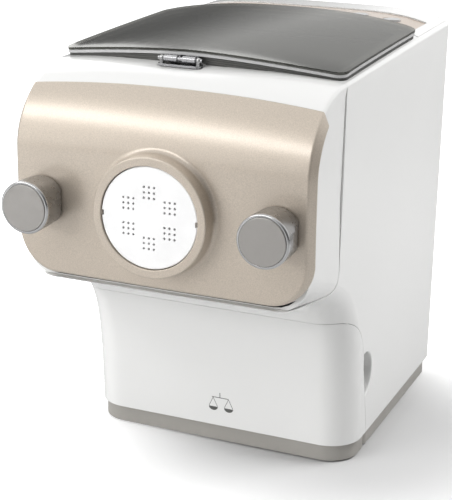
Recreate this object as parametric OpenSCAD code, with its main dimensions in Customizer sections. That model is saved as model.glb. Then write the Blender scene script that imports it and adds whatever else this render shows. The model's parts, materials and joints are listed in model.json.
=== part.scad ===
// Electric pasta maker: a mixing chamber under a clear lid, an extruder behind a bolted front panel,
// and a storage drawer in the base. X is across, Y runs from front to rear, Z is up from the table.

/* [Housing] */
// Length over everything, from the knob faces to the rear cover
length = 343; // [341:1:346]
// Width of the white housing
body_w = 211.2; // [210:0.2:213]
// Height of the side walls where the lid starts
side_h = 292; // [291:0.5:293.5]
// How much higher the side walls are at the rear
side_rise = 7.6; // [6:0.1:8]
// Rise of the domed top over the side walls
crown_h = 12.5; // [11:0.5:13]
// Height of the plinth's top, where the white housing starts
plinth_h = 14.5; // [14:0.5:15]
// Height of the plinth above the table
foot_h = 1.5; // [1:0.25:2]
// Wall thickness of the housing mouldings
wall = 2.8; // [2.4:0.1:3]
// Radius of the housing's front side edges
edge_r = 25; // [22:1:28]

/* [Front panel] */
// Width of the front panel over its rim
panel_w = 215; // [214.5:0.5:216]
// Height of the panel's bottom edge
panel_z = 155.5; // [155:0.5:157]
// Radius of the panel's two bottom corners
panel_corner = 30; // [26:1:34]
// Thickness of the panel
panel_t = 3; // [2.6:0.1:3.2]
// Distance from the panel's face to the knobs' front faces
knob_reach = 28.3; // [27:0.1:30]
// Distance of each knob from the middle
knob_x = 84.2; // [83:0.1:85]
// Height of the knobs above the table
knob_z = 207.2; // [206:0.1:208.5]
// Outer radius of the boss round the shaping disc
boss_r = 40.5; // [39.5:0.5:42]
// How far the boss stands out of the panel
boss_reach = 14.8; // [14:0.1:16]
// Radius of the shaping disc's visible face
disc_r = 34.2; // [33.5:0.1:34.4]

/* [Drive] */
// Height of the screw, shaft and paddle axis above the table
axis_z = 207.6; // [207:0.1:208.5]
// Inner radius of the mixing chamber's round bottom
chamber_r = 70; // [66:1:71]
// Inner radius of the extrusion tube
tube_r = 29; // [28:0.5:30]
// Radius of the drive shaft
shaft_r = 8; // [7.5:0.1:8.2]
// Running clearance of the shafts in their bearings
running_gap = 0.05; // [0.02:0.01:0.08]

/* [Drawer] */
// Height of the drawer front's top edge
drawer_z = 118; // [116:0.5:119]
// Inside depth of the drawer tray
tray_l = 34; // [28:1:36]

/* [Lid] */
// Half width of the clear lid
lid_half = 103; // [102:0.2:103.4]
// Height of the lid's front edge in the middle
lid_z = 307; // [306.5:0.1:307.5]
// Thickness of the clear shell
lid_t = 2.4; // [2:0.1:2.6]

/* [Hidden] */
$fn = 64;

// Places along Y are given as distances behind the front panel's face.
panel_y = -length / 2 + knob_reach;
function behind(d) = panel_y + d;
half_w = body_w / 2;
panel_half = panel_w / 2;
gap = 0.3;
rear_d = length - knob_reach;
seam_d = 60;
deck_d = 232;

// Front of the lower body: a shallow lean that sweeps forward under the front panel.
sweep_d = 104.8;
sweep_lean = 0.065;
sweep_reach = 35.5;
sweep_fade = 21;
seam_z = 131;
neck_z = 150.5;
function sweep(z) = exp((z - seam_z) / sweep_fade);
function front_d(z) = sweep_d - sweep_lean * z - sweep_reach * sweep(z);
function front_slope(z) = -sweep_lean - sweep_reach / sweep_fade * sweep(z);

// Face of the head: a slight bulge, then a superellipse that rolls over into the top.
// In plan the face bows back a little towards its sides.
bulge = 3.3;
face_bow = 1.3;
roll_d = 60;
roll_z = 240;
roll_power = 2 / 1.93;
function bow(x) = face_bow * pow(x / half_w, 2);
function face_d(x, z) = bow(x) - bulge * (1 - pow((roll_z - z) / (roll_z - panel_z), 2));
function roll(x, a, inset) = [
    roll_d - (roll_d + bulge - bow(x) - inset) * pow(cos(a), roll_power),
    roll_z + (side_h - roll_z - inset) * pow(sin(a), roll_power)
];

// The panel stops part of the way round the roll; both share the angles of their points.
brow_angles = [for (i = [0:12]) i * 7.5];
panel_angles = [for (i = [0:8]) brow_angles[i]];
panel_top_d = 22.5;
panel_top_z = 281;
// Side view of everything in front of the panel's top edge, moved back by g.
function panel_side(g) = [[-60, 140], [panel_top_d - 2 + g, 140], [panel_top_d - 2 + g, panel_top_z - 11],
    [panel_top_d + g, panel_top_z], [panel_top_d + 9 + g, panel_top_z + 49], [-60, panel_top_z + 49]];

// The head narrows towards the face, and its lower rear corner is round where it meets the housing.
head_half = 103.7;
head_taper_d = 20;
head_z = 152;
head_corner = 14;
function head_outline(g) = concat(
    [[-60, 340], [-60, head_z - g]],
    [for (a = [-90:15:0]) [
        seam_d - head_corner + (head_corner + g) * cos(a),
        head_z + head_corner + (head_corner + g) * sin(a)
    ]],
    [[seam_d + g, 340]]
);

// The domed top.
crown_mid = 200;
crown_front = 238;
crown_rear = 205;
function crease_z(d) = side_h + side_rise * (d - roll_d) / (rear_d - roll_d);
function crown(x, d) = let(
    lengthwise = d < crown_mid ? 1 - pow(min(1, (crown_mid - d) / crown_front), 1.4)
        : 1 - pow((d - crown_mid) / crown_rear, 2),
    power = 2 + 3 * max(0, d) / rear_d
) crown_h * lengthwise * (1 - pow(min(1, abs(x) / half_w), power));
function top_z(x, d) = crease_z(d) + crown(x, d);

// The clear lid's dome: its middle and side lines rise towards the rear.
lid_front = 50;
lid_rear = 231;
lid_bow = 12;
lid_drop = 8.7;
function lid_run(d) = (d - lid_front) / (lid_rear - lid_front);
function lid_mid_z(t) = lid_z + 7.6 * t + 4 * t * (1 - t);
function lid_side_z(t) = lid_z - lid_drop + 6.6 * t + 2 * t * (1 - t);
function lid_top_z(x, d) = let(
    t = lid_run(d),
    u = min(1, abs(x) / lid_half),
    corner_dip = 1.3 * u * u * pow(max(0, 1 - 5 * t), 2)
) lid_mid_z(t) - (lid_mid_z(t) - lid_side_z(t)) * pow(u, 1.7 + 0.77 * t) - corner_dip;
trim_t = 1.2;
rim_h = 2.8;

// Skins a solid over sections that all have the same number of points.
module loft(sections) {
    n = len(sections);
    m = len(sections[0]);
    sides = [for (i = [0:n - 2], j = [0:m - 1]) each [
        [i * m + j, i * m + (j + 1) % m, (i + 1) * m + (j + 1) % m],
        [i * m + j, (i + 1) * m + (j + 1) % m, (i + 1) * m + j]
    ]];
    first = [for (j = [m - 1:-1:0]) j];
    last = [for (j = [0:m - 1]) (n - 1) * m + j];
    polyhedron([for (s = sections) each s], concat(sides, [first, last]), convexity = 6);
}

// One slice of the housing's outer form at x, moved inwards by the inset.
function edge_drop(x, inset) = let(u = max(0, abs(x) - (half_w - edge_r)), r = edge_r - inset)
    edge_r - sqrt(max(0, r * r - u * u));
function front_point(z, drop, floor_z) = let(s = front_slope(z), n = sqrt(1 + s * s))
    [front_d(z) + drop / n, max(floor_z, z - drop * s / n)];
front_steps = [for (i = [0:4]) plinth_h + i * (96 - plinth_h) / 4];
neck_steps = [for (i = [1:7]) 96 + i * (neck_z - 96) / 7];
function form_slice(x, inset, face_inset, floor_z) = let(
    drop = edge_drop(x, inset),
    front = [for (z = concat(front_steps, neck_steps)) front_point(z, drop, floor_z)],
    start_z = front[len(front) - 1][1],
    face = [for (i = [0:3]) let(z = start_z + (roll_z - start_z) * (i + 0.5) / 4)
        [face_d(x, z) + face_inset, z]],
    brow = [for (a = brow_angles) let(p = roll(x, a, face_inset)) [p[0], p[1] + crown(x, p[0])]],
    top = [for (d = [roll_d + 40:40:rear_d - 20]) [d, top_z(x, d) - inset]],
    rear = [[rear_d - inset, top_z(x, rear_d) - inset], [rear_d - inset, floor_z]]
) [for (p = concat([[front_d(plinth_h) + drop, floor_z - 0.01]], front, face, brow, top, rear))
    [x, behind(p[0]), p[1]]];

// Slices stand closer together where the side edges are rounded.
function slice_places(inset) = let(r = edge_r - inset, flat = half_w - edge_r)
    concat(
        [for (a = [90:-15:0]) -flat - r * sin(a)],
        [for (i = [1:5]) -flat + i * flat / 3],
        [for (a = [0:15:90]) flat + r * sin(a)]
    );
module form(inset = 0, face_inset = 0, floor_z = plinth_h)
    loft([for (x = slice_places(inset)) form_slice(x, inset, face_inset, floor_z)]);

// A sheet between two surfaces over a rectangle of x and distance behind the panel.
module sheet(top, bottom, x1, d0, d1, nx = 12, nd = 6) {
    loft([for (i = [0:nx]) let(x = x1 * (2 * i / nx - 1)) concat(
        [for (j = [0:nd]) let(d = d0 + (d1 - d0) * j / nd) [x, behind(d), top(x, d)]],
        [for (j = [nd:-1:0]) let(d = d0 + (d1 - d0) * j / nd) [x, behind(d), bottom(x, d)]]
    )]);
}

// A side view outline of [distance behind the panel, z] points, extruded across the machine.
module side_prism(points, w = 2 * half_w + 20)
    rotate([90, 0, 90]) linear_extrude(w, center = true) polygon([for (p = points) [behind(p[0]), p[1]]]);
// A front view outline of [x, z] points, extruded rearwards from d0 to d1.
module front_prism(points, d0, d1)
    translate([0, behind(d1), 0]) rotate([90, 0, 0]) linear_extrude(d1 - d0) polygon(points);
module box(x0, x1, d0, d1, z0, z1) translate([x0, behind(d0), z0]) cube([x1 - x0, d1 - d0, z1 - z0]);
// A round bar along Y from d0 to d1.
module rod(x, z, r, d0, d1) translate([x, behind(d0), z]) rotate([-90, 0, 0]) cylinder(r = r, h = d1 - d0);
module ring(x, z, r_out, r_in, d0, d1) difference() {
    rod(x, z, r_out, d0, d1);
    rod(x, z, r_in, d0 - 1, d1 + 1);
}
module post(x, d, z0, z1, r) translate([x, behind(d), z0]) cylinder(r = r, h = z1 - z0);
// A flat plate with round corners, from z0 to z1.
module plate(x1, d0, d1, z0, z1, r) {
    box(-x1 + r, x1 - r, d0, d1, z0, z1);
    box(-x1, x1, d0 + r, d1 - r, z0, z1);
    for (x = [-x1 + r, x1 - r], d = [d0 + r, d1 - r]) post(x, d, z0, z1, r);
}

// Outline of the drawer seen from the side, grown by g.
drawer_back_d = 141;
drawer_arc_r = 47;
drawer_arc_d = 80;
function drawer_outline(g) = concat(
    [[30, plinth_h - 20], [drawer_back_d + g, plinth_h - 20], [drawer_back_d + g, plinth_h]],
    [for (a = [0:10:90]) [
        drawer_arc_d + (drawer_arc_r + g) * cos(a),
        drawer_z - drawer_arc_r + (drawer_arc_r + g) * sin(a)
    ]],
    [[30, drawer_z + g]]
);
grip_d = 130;
grip_z = 64;
grip_r = 17.5;
grip_depth = 10;

// Outline of the panel seen from the front, with round bottom corners.
function panel_outline(inset, top) = let(r = panel_corner - inset, w = panel_half - inset) concat(
    [[w, top], [-w, top]],
    [for (a = [180:9:270]) [-w + r + r * cos(a), panel_z + inset + r + r * sin(a)]],
    [for (a = [270:9:360]) [w - r + r * cos(a), panel_z + inset + r + r * sin(a)]]
);
panel_depth = 6.2;
rim_t = panel_half - head_half - gap;
// The rim's sides slope back from the edges of the flat face.
flat_half = 103.6;
rim_slope = 5.5 / (panel_half - flat_half);
function face_line(x, inset, angles) = concat(
    [for (i = [0:3]) let(z = panel_z - 8 + (roll_z - panel_z + 8) * i / 4) [face_d(x, z) + inset, z]],
    [for (a = angles) let(p = roll(x, a, inset)) [p[0], p[1] + crown(x, p[0])]]
);
face_places = concat([-panel_half], [for (i = [-6:6]) i * flat_half / 6], [panel_half]);
// A solid bounded in front and behind by the face line at two insets; the front slopes back past the face.
module face_band(front, back, slope = 0) loft([for (x = face_places) let(
    f = face_line(x, front + slope * max(0, abs(x) - flat_half), panel_angles),
    b = face_line(x, back, panel_angles)
) [for (p = concat(f, [for (i = [len(b) - 1:-1:0]) b[i]])) [x, behind(p[0]), p[1]]]]);
// Everything behind the face line at an inset.
module face_core(inset) loft([for (x = face_places)
    [for (p = concat(face_line(x, inset, brow_angles), [[70, 300], [70, panel_z - 8]]))
        [x, behind(p[0]), p[1]]]]);
// What the head gives up to the panel: its thickness all over, and its depth outside the rim.
module panel_room() difference() {
    intersection() {
        face_band(-15, panel_depth + gap);
        side_prism(panel_side(gap));
    }
    intersection() {
        face_core(panel_t + gap);
        front_prism(panel_outline(rim_t + 2 * gap, 320), -20, 60);
    }
}
// Joins freeform surfaces into one faceted body; true bores are cut from it afterwards.
module faceted() resize([0, 0, 0]) children();

// ---- Base ----
base_z = 3;
base_t = 3;
floor_top = base_z + base_t;
foot_x = 82;
foot_ds = [130, 290];
foot_r = 9;
screw_x = 93;
screw_ds = [165, 232, 299];
screw_r = 1.5;

module base_plate() color("gray") difference() {
    union() {
        plate(97.5, 113, 309, base_z, floor_top, 14);
        for (x = [-screw_x, screw_x], d = screw_ds) post(x, d, floor_top, floor_top + 2, 4);
    }
    for (x = [-foot_x, foot_x], d = foot_ds) post(x, d, base_z - 1, floor_top + 1, 6);
    for (x = [-screw_x, screw_x], d = screw_ds) post(x, d, base_z - 1, floor_top + 3, screw_r + 0.1);
}

plinth_inset = 2.3;
plinth_x = half_w - plinth_inset;
plinth_wall = 2.5;
module plinth() color("#a8a39f") difference() {
    union() {
        difference() {
            plate(plinth_x, drawer_back_d + 0.6, rear_d - plinth_inset, foot_h, plinth_h, 8);
            plate(plinth_x - plinth_wall, drawer_back_d - 20, rear_d - plinth_inset - plinth_wall,
                foot_h - 1, plinth_h + 1, 6);
        }
        for (s = [-1, 1], d = screw_ds)
            translate([s * (plinth_x + screw_x - 4) / 2, behind(d), floor_top + 3.5])
                cube([plinth_x - screw_x + 4, 9, 3], center = true);
    }
    box(-half_w, half_w, drawer_back_d - 30, drawer_back_d + 0.6, 0, plinth_h + 1);
    for (x = [-screw_x, screw_x], d = screw_ds) post(x, d, foot_h, plinth_h, screw_r + 0.1);
}

// Each foot hangs from a load cell, so the base can weigh what is in the chamber.
stem_r = 4;
cell_z = 8;
cell_t = 5;
cell_l = 44;
module feet() color("dimgray") for (x = [-foot_x, foot_x], d = foot_ds) {
    post(x, d, 0, base_z - 0.8, foot_r);
    post(x, d, base_z - 0.8, cell_z, stem_r);
}
module load_cells() color("silver") for (x = [-foot_x, foot_x], i = [0, 1]) {
    d = foot_ds[i];
    s = i == 0 ? 1 : -1;
    translate([x, behind(d + s * (cell_l / 2 - 7)), cell_z + cell_t / 2]) difference() {
        cube([13, cell_l, cell_t], center = true);
        cube([14, 14, 1.6], center = true);
    }
    translate([x, behind(d + s * (cell_l - 14)), (cell_z + floor_top) / 2])
        cube([13, 12, cell_z - floor_top], center = true);
}

cover_screws = [for (x = [-94, 94], z = [40, 262]) [x, z]];
module housing_screws() color("silver") {
    for (x = [-screw_x, screw_x], d = screw_ds) {
        post(x, d, foot_h + 0.2, base_z, 3);
        post(x, d, base_z, floor_top + 5, screw_r);
    }
    for (c = cover_screws) {
        rod(c[0], c[1], 3, rear_d - 1.5, rear_d - 0.2);
        rod(c[0], c[1], screw_r, rear_d - 9, rear_d - 1.5);
    }
}

// ---- White housing ----
cover_t = 2.8;
chamber_d0 = 66;
chamber_d1 = 228;
chamber_t = 2.5;
top_open_x = 91;
grip_outer = grip_r + 2;
rear_r = 5;
inner_half = half_w - wall;
module grip_plug(s, r, depth) translate([s * half_w, behind(grip_d), grip_z]) rotate([0, 90, 0])
    cylinder(r = r, h = 2 * depth, center = true);
module main_shell() faceted() difference() {
    union() {
        difference() {
            intersection() {
                form();
                plate(half_w, -60, rear_d, 0, 330, rear_r);
            }
            form(wall, wall, plinth_h - 4);
            box(-top_open_x, top_open_x, chamber_d0 + 1, deck_d - 10, 250, 330);
            side_prism([[deck_d - 1, 260], [rear_d + 5, 260], [rear_d + 5, 340], [deck_d - 1, 340]],
                2 * inner_half);
        }
        intersection() {
            form(0.5);
            for (s = [-1, 1]) grip_plug(s, grip_outer, grip_depth + 1.6);
        }
        deck_ledges();
    }
    for (s = [-1, 1]) grip_plug(s, grip_r, grip_depth);
    side_prism(head_outline(gap / 2));
    side_prism(drawer_outline(gap));
    box(-half_w + wall + 0.2, half_w - wall - 0.2, rear_d - 12, rear_d + 5, 0, 330);
}
// Strips inside the side walls that the deck rests on.
module deck_ledges() difference() {
    sheet(function(x, d) top_z(x, d) - wall - gap, function(x, d) top_z(x, d) - wall - 3,
        half_w - 0.5, deck_d + 1, rear_d - 14);
    box(-pad_x - 3, pad_x + 3, deck_d - 10, rear_d, 260, 330);
}
module main_housing() color("white") {
    main_shell();
    for (c = cover_screws) difference() {
        translate([sign(c[0]) * (half_w - wall - 4.6), behind(rear_d - cover_t - 5.1), c[1]])
            cube([9.6, 10, 12], center = true);
        rod(c[0], c[1], screw_r + 0.1, rear_d - 20, rear_d);
    }
}

stud_r = 4;
tube_out = tube_r + 5;
hinge_d = 46.5;
hinge_z = 300.8;
hinge_x0 = -21.5;
hinge_x1 = 8;
hinge_back_d = lid_front + 3;
pocket_z = 295.5;
pocket_t = 2.4;
module hinge_pocket(g, z0, z1)
    box(hinge_x0 - 1.5 - g, hinge_x1 + 1.5 + g, hinge_d - 4 - g, hinge_back_d + g, z0, z1);
// Plan of the head, seen from above, with its sides moved in.
module head_plan(inset) translate([0, 0, 100]) linear_extrude(240) polygon([for (s = [1, -1]) each [
    for (p = s == 1 ? [0, 1, 2] : [2, 1, 0]) let(d = [seam_d + 1, head_taper_d, -60][p])
        [s * ((p == 0 ? half_w : head_half) - inset), behind(d)]]]);
module head_shell() faceted() difference() {
    intersection() {
        union() {
            difference() {
                form();
                intersection() {
                    form(wall, wall + panel_t + gap, plinth_h - 4);
                    head_plan(wall);
                }
            }
            intersection() {
                form(0.5, 0.5);
                union() {
                    hinge_pocket(pocket_t, pocket_z - pocket_t, 310);
                    box(-half_w, half_w, 2, panel_depth + gap + wall, head_z - 2, panel_z + panel_corner);
                }
            }
        }
        side_prism(head_outline(-gap / 2));
        head_plan(0);
    }
    hinge_pocket(0, pocket_z, 320);
    panel_room();
}
module head_housing() color("white") difference() {
    head_shell();
    rod(0, axis_z, tube_out + 3, -20, seam_d);
    for (s = [-1, 1]) rod(s * knob_x, knob_z, stud_r + 1, -20, seam_d);
}

// The control panel lies in a pocket of the deck.
pad_x = 96;
pad_d0 = deck_d + 1.5;
pad_d1 = 280;
pad_t = 3.4;
button_d = 258;
button_r = 6.6;
button_xs = [74, 48, -48, -74];
module top_deck() color("white") faceted() difference() {
    union() {
        difference() {
            intersection() {
                form();
                box(-inner_half + gap, inner_half - gap, 60, rear_d, 250, 330);
            }
            form(wall, wall, plinth_h - 4);
            box(-pad_x, pad_x, pad_d0, pad_d1, 280, 340);
        }
        difference() {
            sheet(function(x, d) top_z(x, d) - pad_t, function(x, d) top_z(x, d) - 5.4,
                pad_x + 2, pad_d0 - 1.1, pad_d1 + 2);
            box(-pad_x + 4, pad_x - 4, pad_d0 + 3, pad_d1 - 4, 280, 340);
        }
    }
    side_prism([[-60, 0], [rear_d + 5, 0], [rear_d + 5, crease_z(rear_d) - wall - 0.4],
        [deck_d + 0.2, side_h - 4], [deck_d + 0.2, 340], [-60, 340]]);
}
module control_panel() color("#b5a596") difference() {
    sheet(function(x, d) top_z(x, d) - 0.9, function(x, d) top_z(x, d) - pad_t + gap,
        pad_x - gap, pad_d0 + gap, pad_d1 - gap);
    for (x = button_xs) post(x, button_d, 290, 320, button_r + 0.4);
    box(-26, 26, button_d - 9, button_d + 9, 290, 320);
}
module display_window() color("#1c1c1e")
    sheet(function(x, d) top_z(x, d) - 0.8, function(x, d) top_z(x, d) - 2.4,
        25.7, button_d - 8.7, button_d + 8.7, 4, 2);
board_z = 292;
module control_board() color("darkgreen") {
    box(-88, 88, pad_d0 + 4, pad_d1 - 6, board_z, board_z + 1.6);
    for (x = button_xs) box(x - 3, x + 3, button_d - 3, button_d + 3, board_z + 1.6, board_z + 3.6);
    for (x = [-84, 84], d = [pad_d0 + 7, pad_d1 - 9]) post(x, d, board_z + 1.6, top_z(x, d) - 4.6, 2);
    box(-22, 22, button_d - 7, button_d + 7, board_z + 1.6, top_z(22, button_d) - 3);
}
// Each button: a round cap, a collar that stops under the panel, and a stem over its switch.
button_travel = 1;
module button_cap(x) {
    top = top_z(x, button_d) - 0.5;
    post(x, button_d, top - 5, top, button_r);
    post(x, button_d, top - 6, top - 4.8, button_r + 1.2);
    post(x, button_d, board_z + 3.6 + button_travel + 0.1, top - 5.8, 1.8);
}
module power_button() color("gray") button_cap(button_xs[0]);
module start_button() color("lightgray") button_cap(button_xs[1]);
module programme_button() color("lightgray") button_cap(button_xs[2]);
module flour_button() color("lightgray") button_cap(button_xs[3]);

inlet_z = 52;
module rear_cover() color("whitesmoke") difference() {
    box(-inner_half + gap, inner_half - gap, rear_d - cover_t, rear_d, plinth_h + 0.2,
        crease_z(rear_d) - wall - 1.2);
    for (c = cover_screws) {
        rod(c[0], c[1], screw_r + 0.1, rear_d - 5, rear_d + 1);
        rod(c[0], c[1], 3.2, rear_d - 1.5, rear_d + 1);
    }
    for (i = [-9:9]) box(i * 6 - 1.4, i * 6 + 1.4, rear_d - 5, rear_d + 1, 100, 150);
    for (i = [-9:9]) box(i * 6 - 1.4, i * 6 + 1.4, rear_d - 5, rear_d + 1, 218, 250);
    box(-60 - 12.2, -60 + 12.2, rear_d - 5, rear_d + 1, inlet_z - 9.2, inlet_z + 9.2);
}
module power_inlet() color("black") {
    difference() {
        union() {
            box(-72, -48, rear_d - 24, rear_d - 0.4, inlet_z - 9, inlet_z + 9);
            box(-75, -45, rear_d - cover_t - 2, rear_d - cover_t, inlet_z - 12, inlet_z + 12);
        }
        box(-70, -50, rear_d - 20, rear_d + 1, inlet_z - 7, inlet_z + 7);
    }
    for (x = [-65, -60, -55]) box(x - 0.8, x + 0.8, rear_d - 20, rear_d - 6, inlet_z - 3.5, inlet_z + 0.5);
    box(-70, -50, rear_d - 30, rear_d - 24, inlet_z - 5, inlet_z + 5);
}
module power_board() color("darkgreen") {
    box(-95, -38, 182, 232, floor_top + 6, floor_top + 7.6);
    for (x = [-86, -42], d = [188, 220]) post(x, d, floor_top, floor_top + 6, 2);
    post(-82, 200, floor_top + 7.6, floor_top + 32, 9);
    box(-66, -44, 190, 224, floor_top + 7.6, floor_top + 26);
}

// ---- Frame, chamber and tube ----
rail_x = 82;
rear_plate_d = 236;
rear_plate_t = 4;
motor_z = 92.6;
cluster_z = 137.6;
module chassis() color("darkgray") difference() {
    union() {
        box(-97, 97, seam_d - 3.5, seam_d - 0.5, 165, 262);
        for (s = [-1, 1]) box(s * rail_x - 1.5, s * rail_x + 1.5, seam_d - 0.5, rear_plate_d, 176, 240);
        box(-rail_x - 1.5, rail_x + 1.5, rear_plate_d, rear_plate_d + rear_plate_t, floor_top, 282);
        for (s = [-1, 1]) box(s * 58 - 10, s * 58 + 10, rear_plate_d + rear_plate_t, 262,
            floor_top, floor_top + 3);
    }
    rod(0, axis_z, tube_out + 1, seam_d - 10, seam_d + 5);
    for (s = [-1, 1]) rod(s * knob_x, knob_z, stud_r, seam_d - 10, seam_d + 5);
    rod(0, axis_z, 17, rear_plate_d - 5, rear_plate_d + 10);
    rod(0, cluster_z, 9, rear_plate_d - 5, rear_plate_d + 10);
    rod(0, motor_z, 14, rear_plate_d - 5, rear_plate_d + 10);
    for (c = gearbox_holes) rod(c[0], c[1], 1.6, rear_plate_d - 5, rear_plate_d + 10);
}
module panel_studs() color("silver") for (s = [-1, 1]) {
    rod(s * knob_x, knob_z, stud_r, -21, seam_d + 1.5);
    difference() {
        rod(s * knob_x, knob_z, stud_r + 3, seam_d - 8.5, seam_d - 3.5);
        rod(s * knob_x, knob_z, stud_r, seam_d - 10, seam_d);
    }
}

module chamber_block(g, d0, d1, top) {
    rod(0, axis_z, chamber_r + g, d0, d1);
    box(-chamber_r - g, chamber_r + g, d0, d1, axis_z, 262);
    front_prism([[-chamber_r - g, 261], [chamber_r + g, 261], [92 + g, 286], [92 + g, top],
        [-92 - g, top], [-92 - g, 286]], d0, d1);
}
module mixing_chamber() color([0.75, 0.77, 0.78]) difference() {
    union() {
        chamber_block(chamber_t, chamber_d0, chamber_d1, 291);
        ring(0, axis_z, tube_out + 2.5, tube_out + 0.5, seam_d + 0.5, chamber_d0 + 1);
    }
    chamber_block(0, chamber_d0 + chamber_t, chamber_d1 - chamber_t, 300);
    rod(0, axis_z, tube_r, chamber_d0 - 10, chamber_d0 + 10);
    rod(0, axis_z, shaft_r + 4, chamber_d1 - 10, chamber_d1 + 10);
}
// Plan of the lid: a bowed front edge and round corners.
lid_corner = 10;
lid_corner_a = 78;
function lid_outline(inset) = let(
    w = lid_half - inset,
    r = lid_corner - inset / 2,
    x1 = w - r + r * cos(lid_corner_a),
    front_d = function(x) lid_front + inset + lid_bow * pow(x / lid_half, 2),
    front_c = front_d(x1) + r * sin(lid_corner_a),
    rear_c = lid_rear - inset - r
) concat(
    [for (i = [-6:6]) [i * x1 / 6, behind(front_d(i * x1 / 6))]],
    [for (a = [-60:20:0]) [w - r + r * cos(a), behind(front_c + r * sin(a))]],
    [for (a = [0:30:90]) [w - r + r * cos(a), behind(rear_c + r * sin(a))]],
    [for (a = [90:30:180]) [-w + r + r * cos(a), behind(rear_c + r * sin(a))]],
    [for (a = [180:20:240]) [-w + r + r * cos(a), behind(front_c + r * sin(a))]]
);
module lid_prism(inset) translate([0, 0, 270]) linear_extrude(60) polygon(lid_outline(inset));
// The layer between two depths under the lid's top, inside an outline.
module lid_layer(top_drop, bottom_drop, inset) intersection() {
    sheet(function(x, d) lid_top_z(x, d) - top_drop, function(x, d) lid_top_z(x, d) - bottom_drop,
        lid_half + 2, lid_front - 2, lid_rear + 2);
    lid_prism(inset);
}
// The ribbed seat stands on the housing's top and reaches up to the lid's skirt.
seat_w = 6.5;
module chamber_gasket() color("#6f6f6c") faceted() difference() {
    lid_layer(rim_h + gap, 25, 1);
    lid_prism(1 + seat_w);
    box(hinge_x0 - 1.5, hinge_x1 + 1.5, lid_front - 5, hinge_back_d + 0.2, 280, 330);
    form();
}
module shaft_seal() color("dimgray")
    ring(0, axis_z, shaft_r + 4, shaft_r + 0.05, chamber_d1 - chamber_t, chamber_d1 + 3);
module extrusion_tube() color("gainsboro") difference() {
    union() {
        rod(0, axis_z, tube_out, -4.6, chamber_d0);
        rod(0, axis_z, tube_out + 2, -4.6, -0.6);
    }
    rod(0, axis_z, tube_r, -6, chamber_d0 + 1);
}
module tube_seal() color("dimgray")
    ring(0, axis_z, tube_out + 0.5, tube_out, seam_d + 1, seam_d + 4);

// ---- Gearbox and motor ----
output_teeth = 56;
cluster_pinion_teeth = 14;
output_module = 2;
cluster_teeth = 60;
motor_pinion_teeth = 12;
cluster_module = 1.25;
cluster_r = 5;
rotor_r = 3;
gear_d1 = 286;
box_t = 3;
gearbox_holes = [for (x = [-1, 1]) each [[x * 53.6, axis_z + 40.2], [x * 48.2, cluster_z - 9]]];
// Toothed wheel with straight-flanked teeth, thinner than half the pitch so that they run free.
function gear_points(teeth, m, turn) = let(
    r = m * teeth / 2,
    q = 72 / teeth
) [for (i = [0:teeth - 1]) each [for (p = [[-1.2, -1.25], [0.85, -0.45], [0.85, 0.45], [-1.2, 1.25]])
    let(a = turn + i * 360 / teeth + p[1] * q) (r + p[0] * m) * [cos(a), sin(a)]]];
module gear(x, z, teeth, m, d0, d1, turn)
    translate([x, behind(d1), z]) rotate([90, 0, 0]) linear_extrude(d1 - d0)
        polygon(gear_points(teeth, m, turn));
module gearbox_block(g, d0, d1) {
    rod(0, axis_z, 61 + g, d0, d1);
    rod(0, cluster_z, 43 + g, d0, d1);
    rod(0, motor_z, 18 + g, d0, d1);
    box(-43 - g, 43 + g, d0, d1, cluster_z, axis_z);
    box(-18 - g, 18 + g, d0, d1, motor_z, cluster_z);
}
module gearbox_ears(d0, d1) for (c = gearbox_holes) rod(c[0], c[1], 6, d0, d1);
module gearbox_housing() color("gray") difference() {
    union() {
        gearbox_block(box_t, rear_plate_d + rear_plate_t, gear_d1);
        gearbox_ears(rear_plate_d + rear_plate_t, gear_d1);
    }
    gearbox_block(0, rear_plate_d + rear_plate_t - 1, gear_d1 + 1);
    for (c = gearbox_holes) rod(c[0], c[1], 1.6, rear_plate_d, gear_d1 + 1);
}
module gearbox_cover() color("gray") difference() {
    union() {
        gearbox_block(box_t, gear_d1, gear_d1 + 3);
        gearbox_ears(gear_d1, gear_d1 + 3);
        rod(0, axis_z, 20, gear_d1 + 3, gear_d1 + 8);
        rod(0, cluster_z, 12, gear_d1 + 3, gear_d1 + 8);
    }
    rod(0, axis_z, 17, gear_d1 - 1, gear_d1 + 6);
    rod(0, cluster_z, 9, gear_d1 - 1, gear_d1 + 6);
    for (c = gearbox_holes) rod(c[0], c[1], 1.6, gear_d1 - 1, gear_d1 + 9);
}
module gearbox_screws() color("silver") for (c = gearbox_holes) {
    rod(c[0], c[1], 1.5, rear_plate_d - 1, gear_d1 + 3);
    rod(c[0], c[1], 3, gear_d1 + 3, gear_d1 + 5);
}
module gear_bearings() color("silver") for (d = [rear_plate_d, gear_d1]) {
    ring(0, axis_z, 17, shaft_r + running_gap, d, d + 4);
    ring(0, cluster_z, 9, cluster_r + running_gap, d, d + 4);
}
module drive_shaft() color("silver") {
    rod(0, axis_z, shaft_r, 71, gear_d1 + 5);
    rod(0, axis_z, shaft_r - 2, 50, 71);
}
module output_gear() color("dimgray") difference() {
    union() {
        gear(0, axis_z, output_teeth, output_module, 264, 279, 0);
        rod(0, axis_z, 16, 260, 264);
    }
    rod(0, axis_z, shaft_r, 250, 290);
    for (a = [0:60:300]) rod(34 * cos(a), axis_z + 34 * sin(a), 10, 250, 290);
}
module cluster_shaft() color("silver") rod(0, cluster_z, cluster_r, rear_plate_d + 0.5, gear_d1 + 4.5);
module cluster_gear() color("dimgray") difference() {
    union() {
        gear(0, cluster_z, cluster_teeth, cluster_module, 246, 256, 90 + 180 / cluster_teeth);
        rod(0, cluster_z, 11, 256, 261);
        gear(0, cluster_z, cluster_pinion_teeth, output_module, 261, 282, 90 + 180 / cluster_pinion_teeth);
    }
    rod(0, cluster_z, cluster_r, 240, 290);
    for (a = [0:60:300]) rod(25 * cos(a), cluster_z + 25 * sin(a), 7, 240, 258);
}
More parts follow.
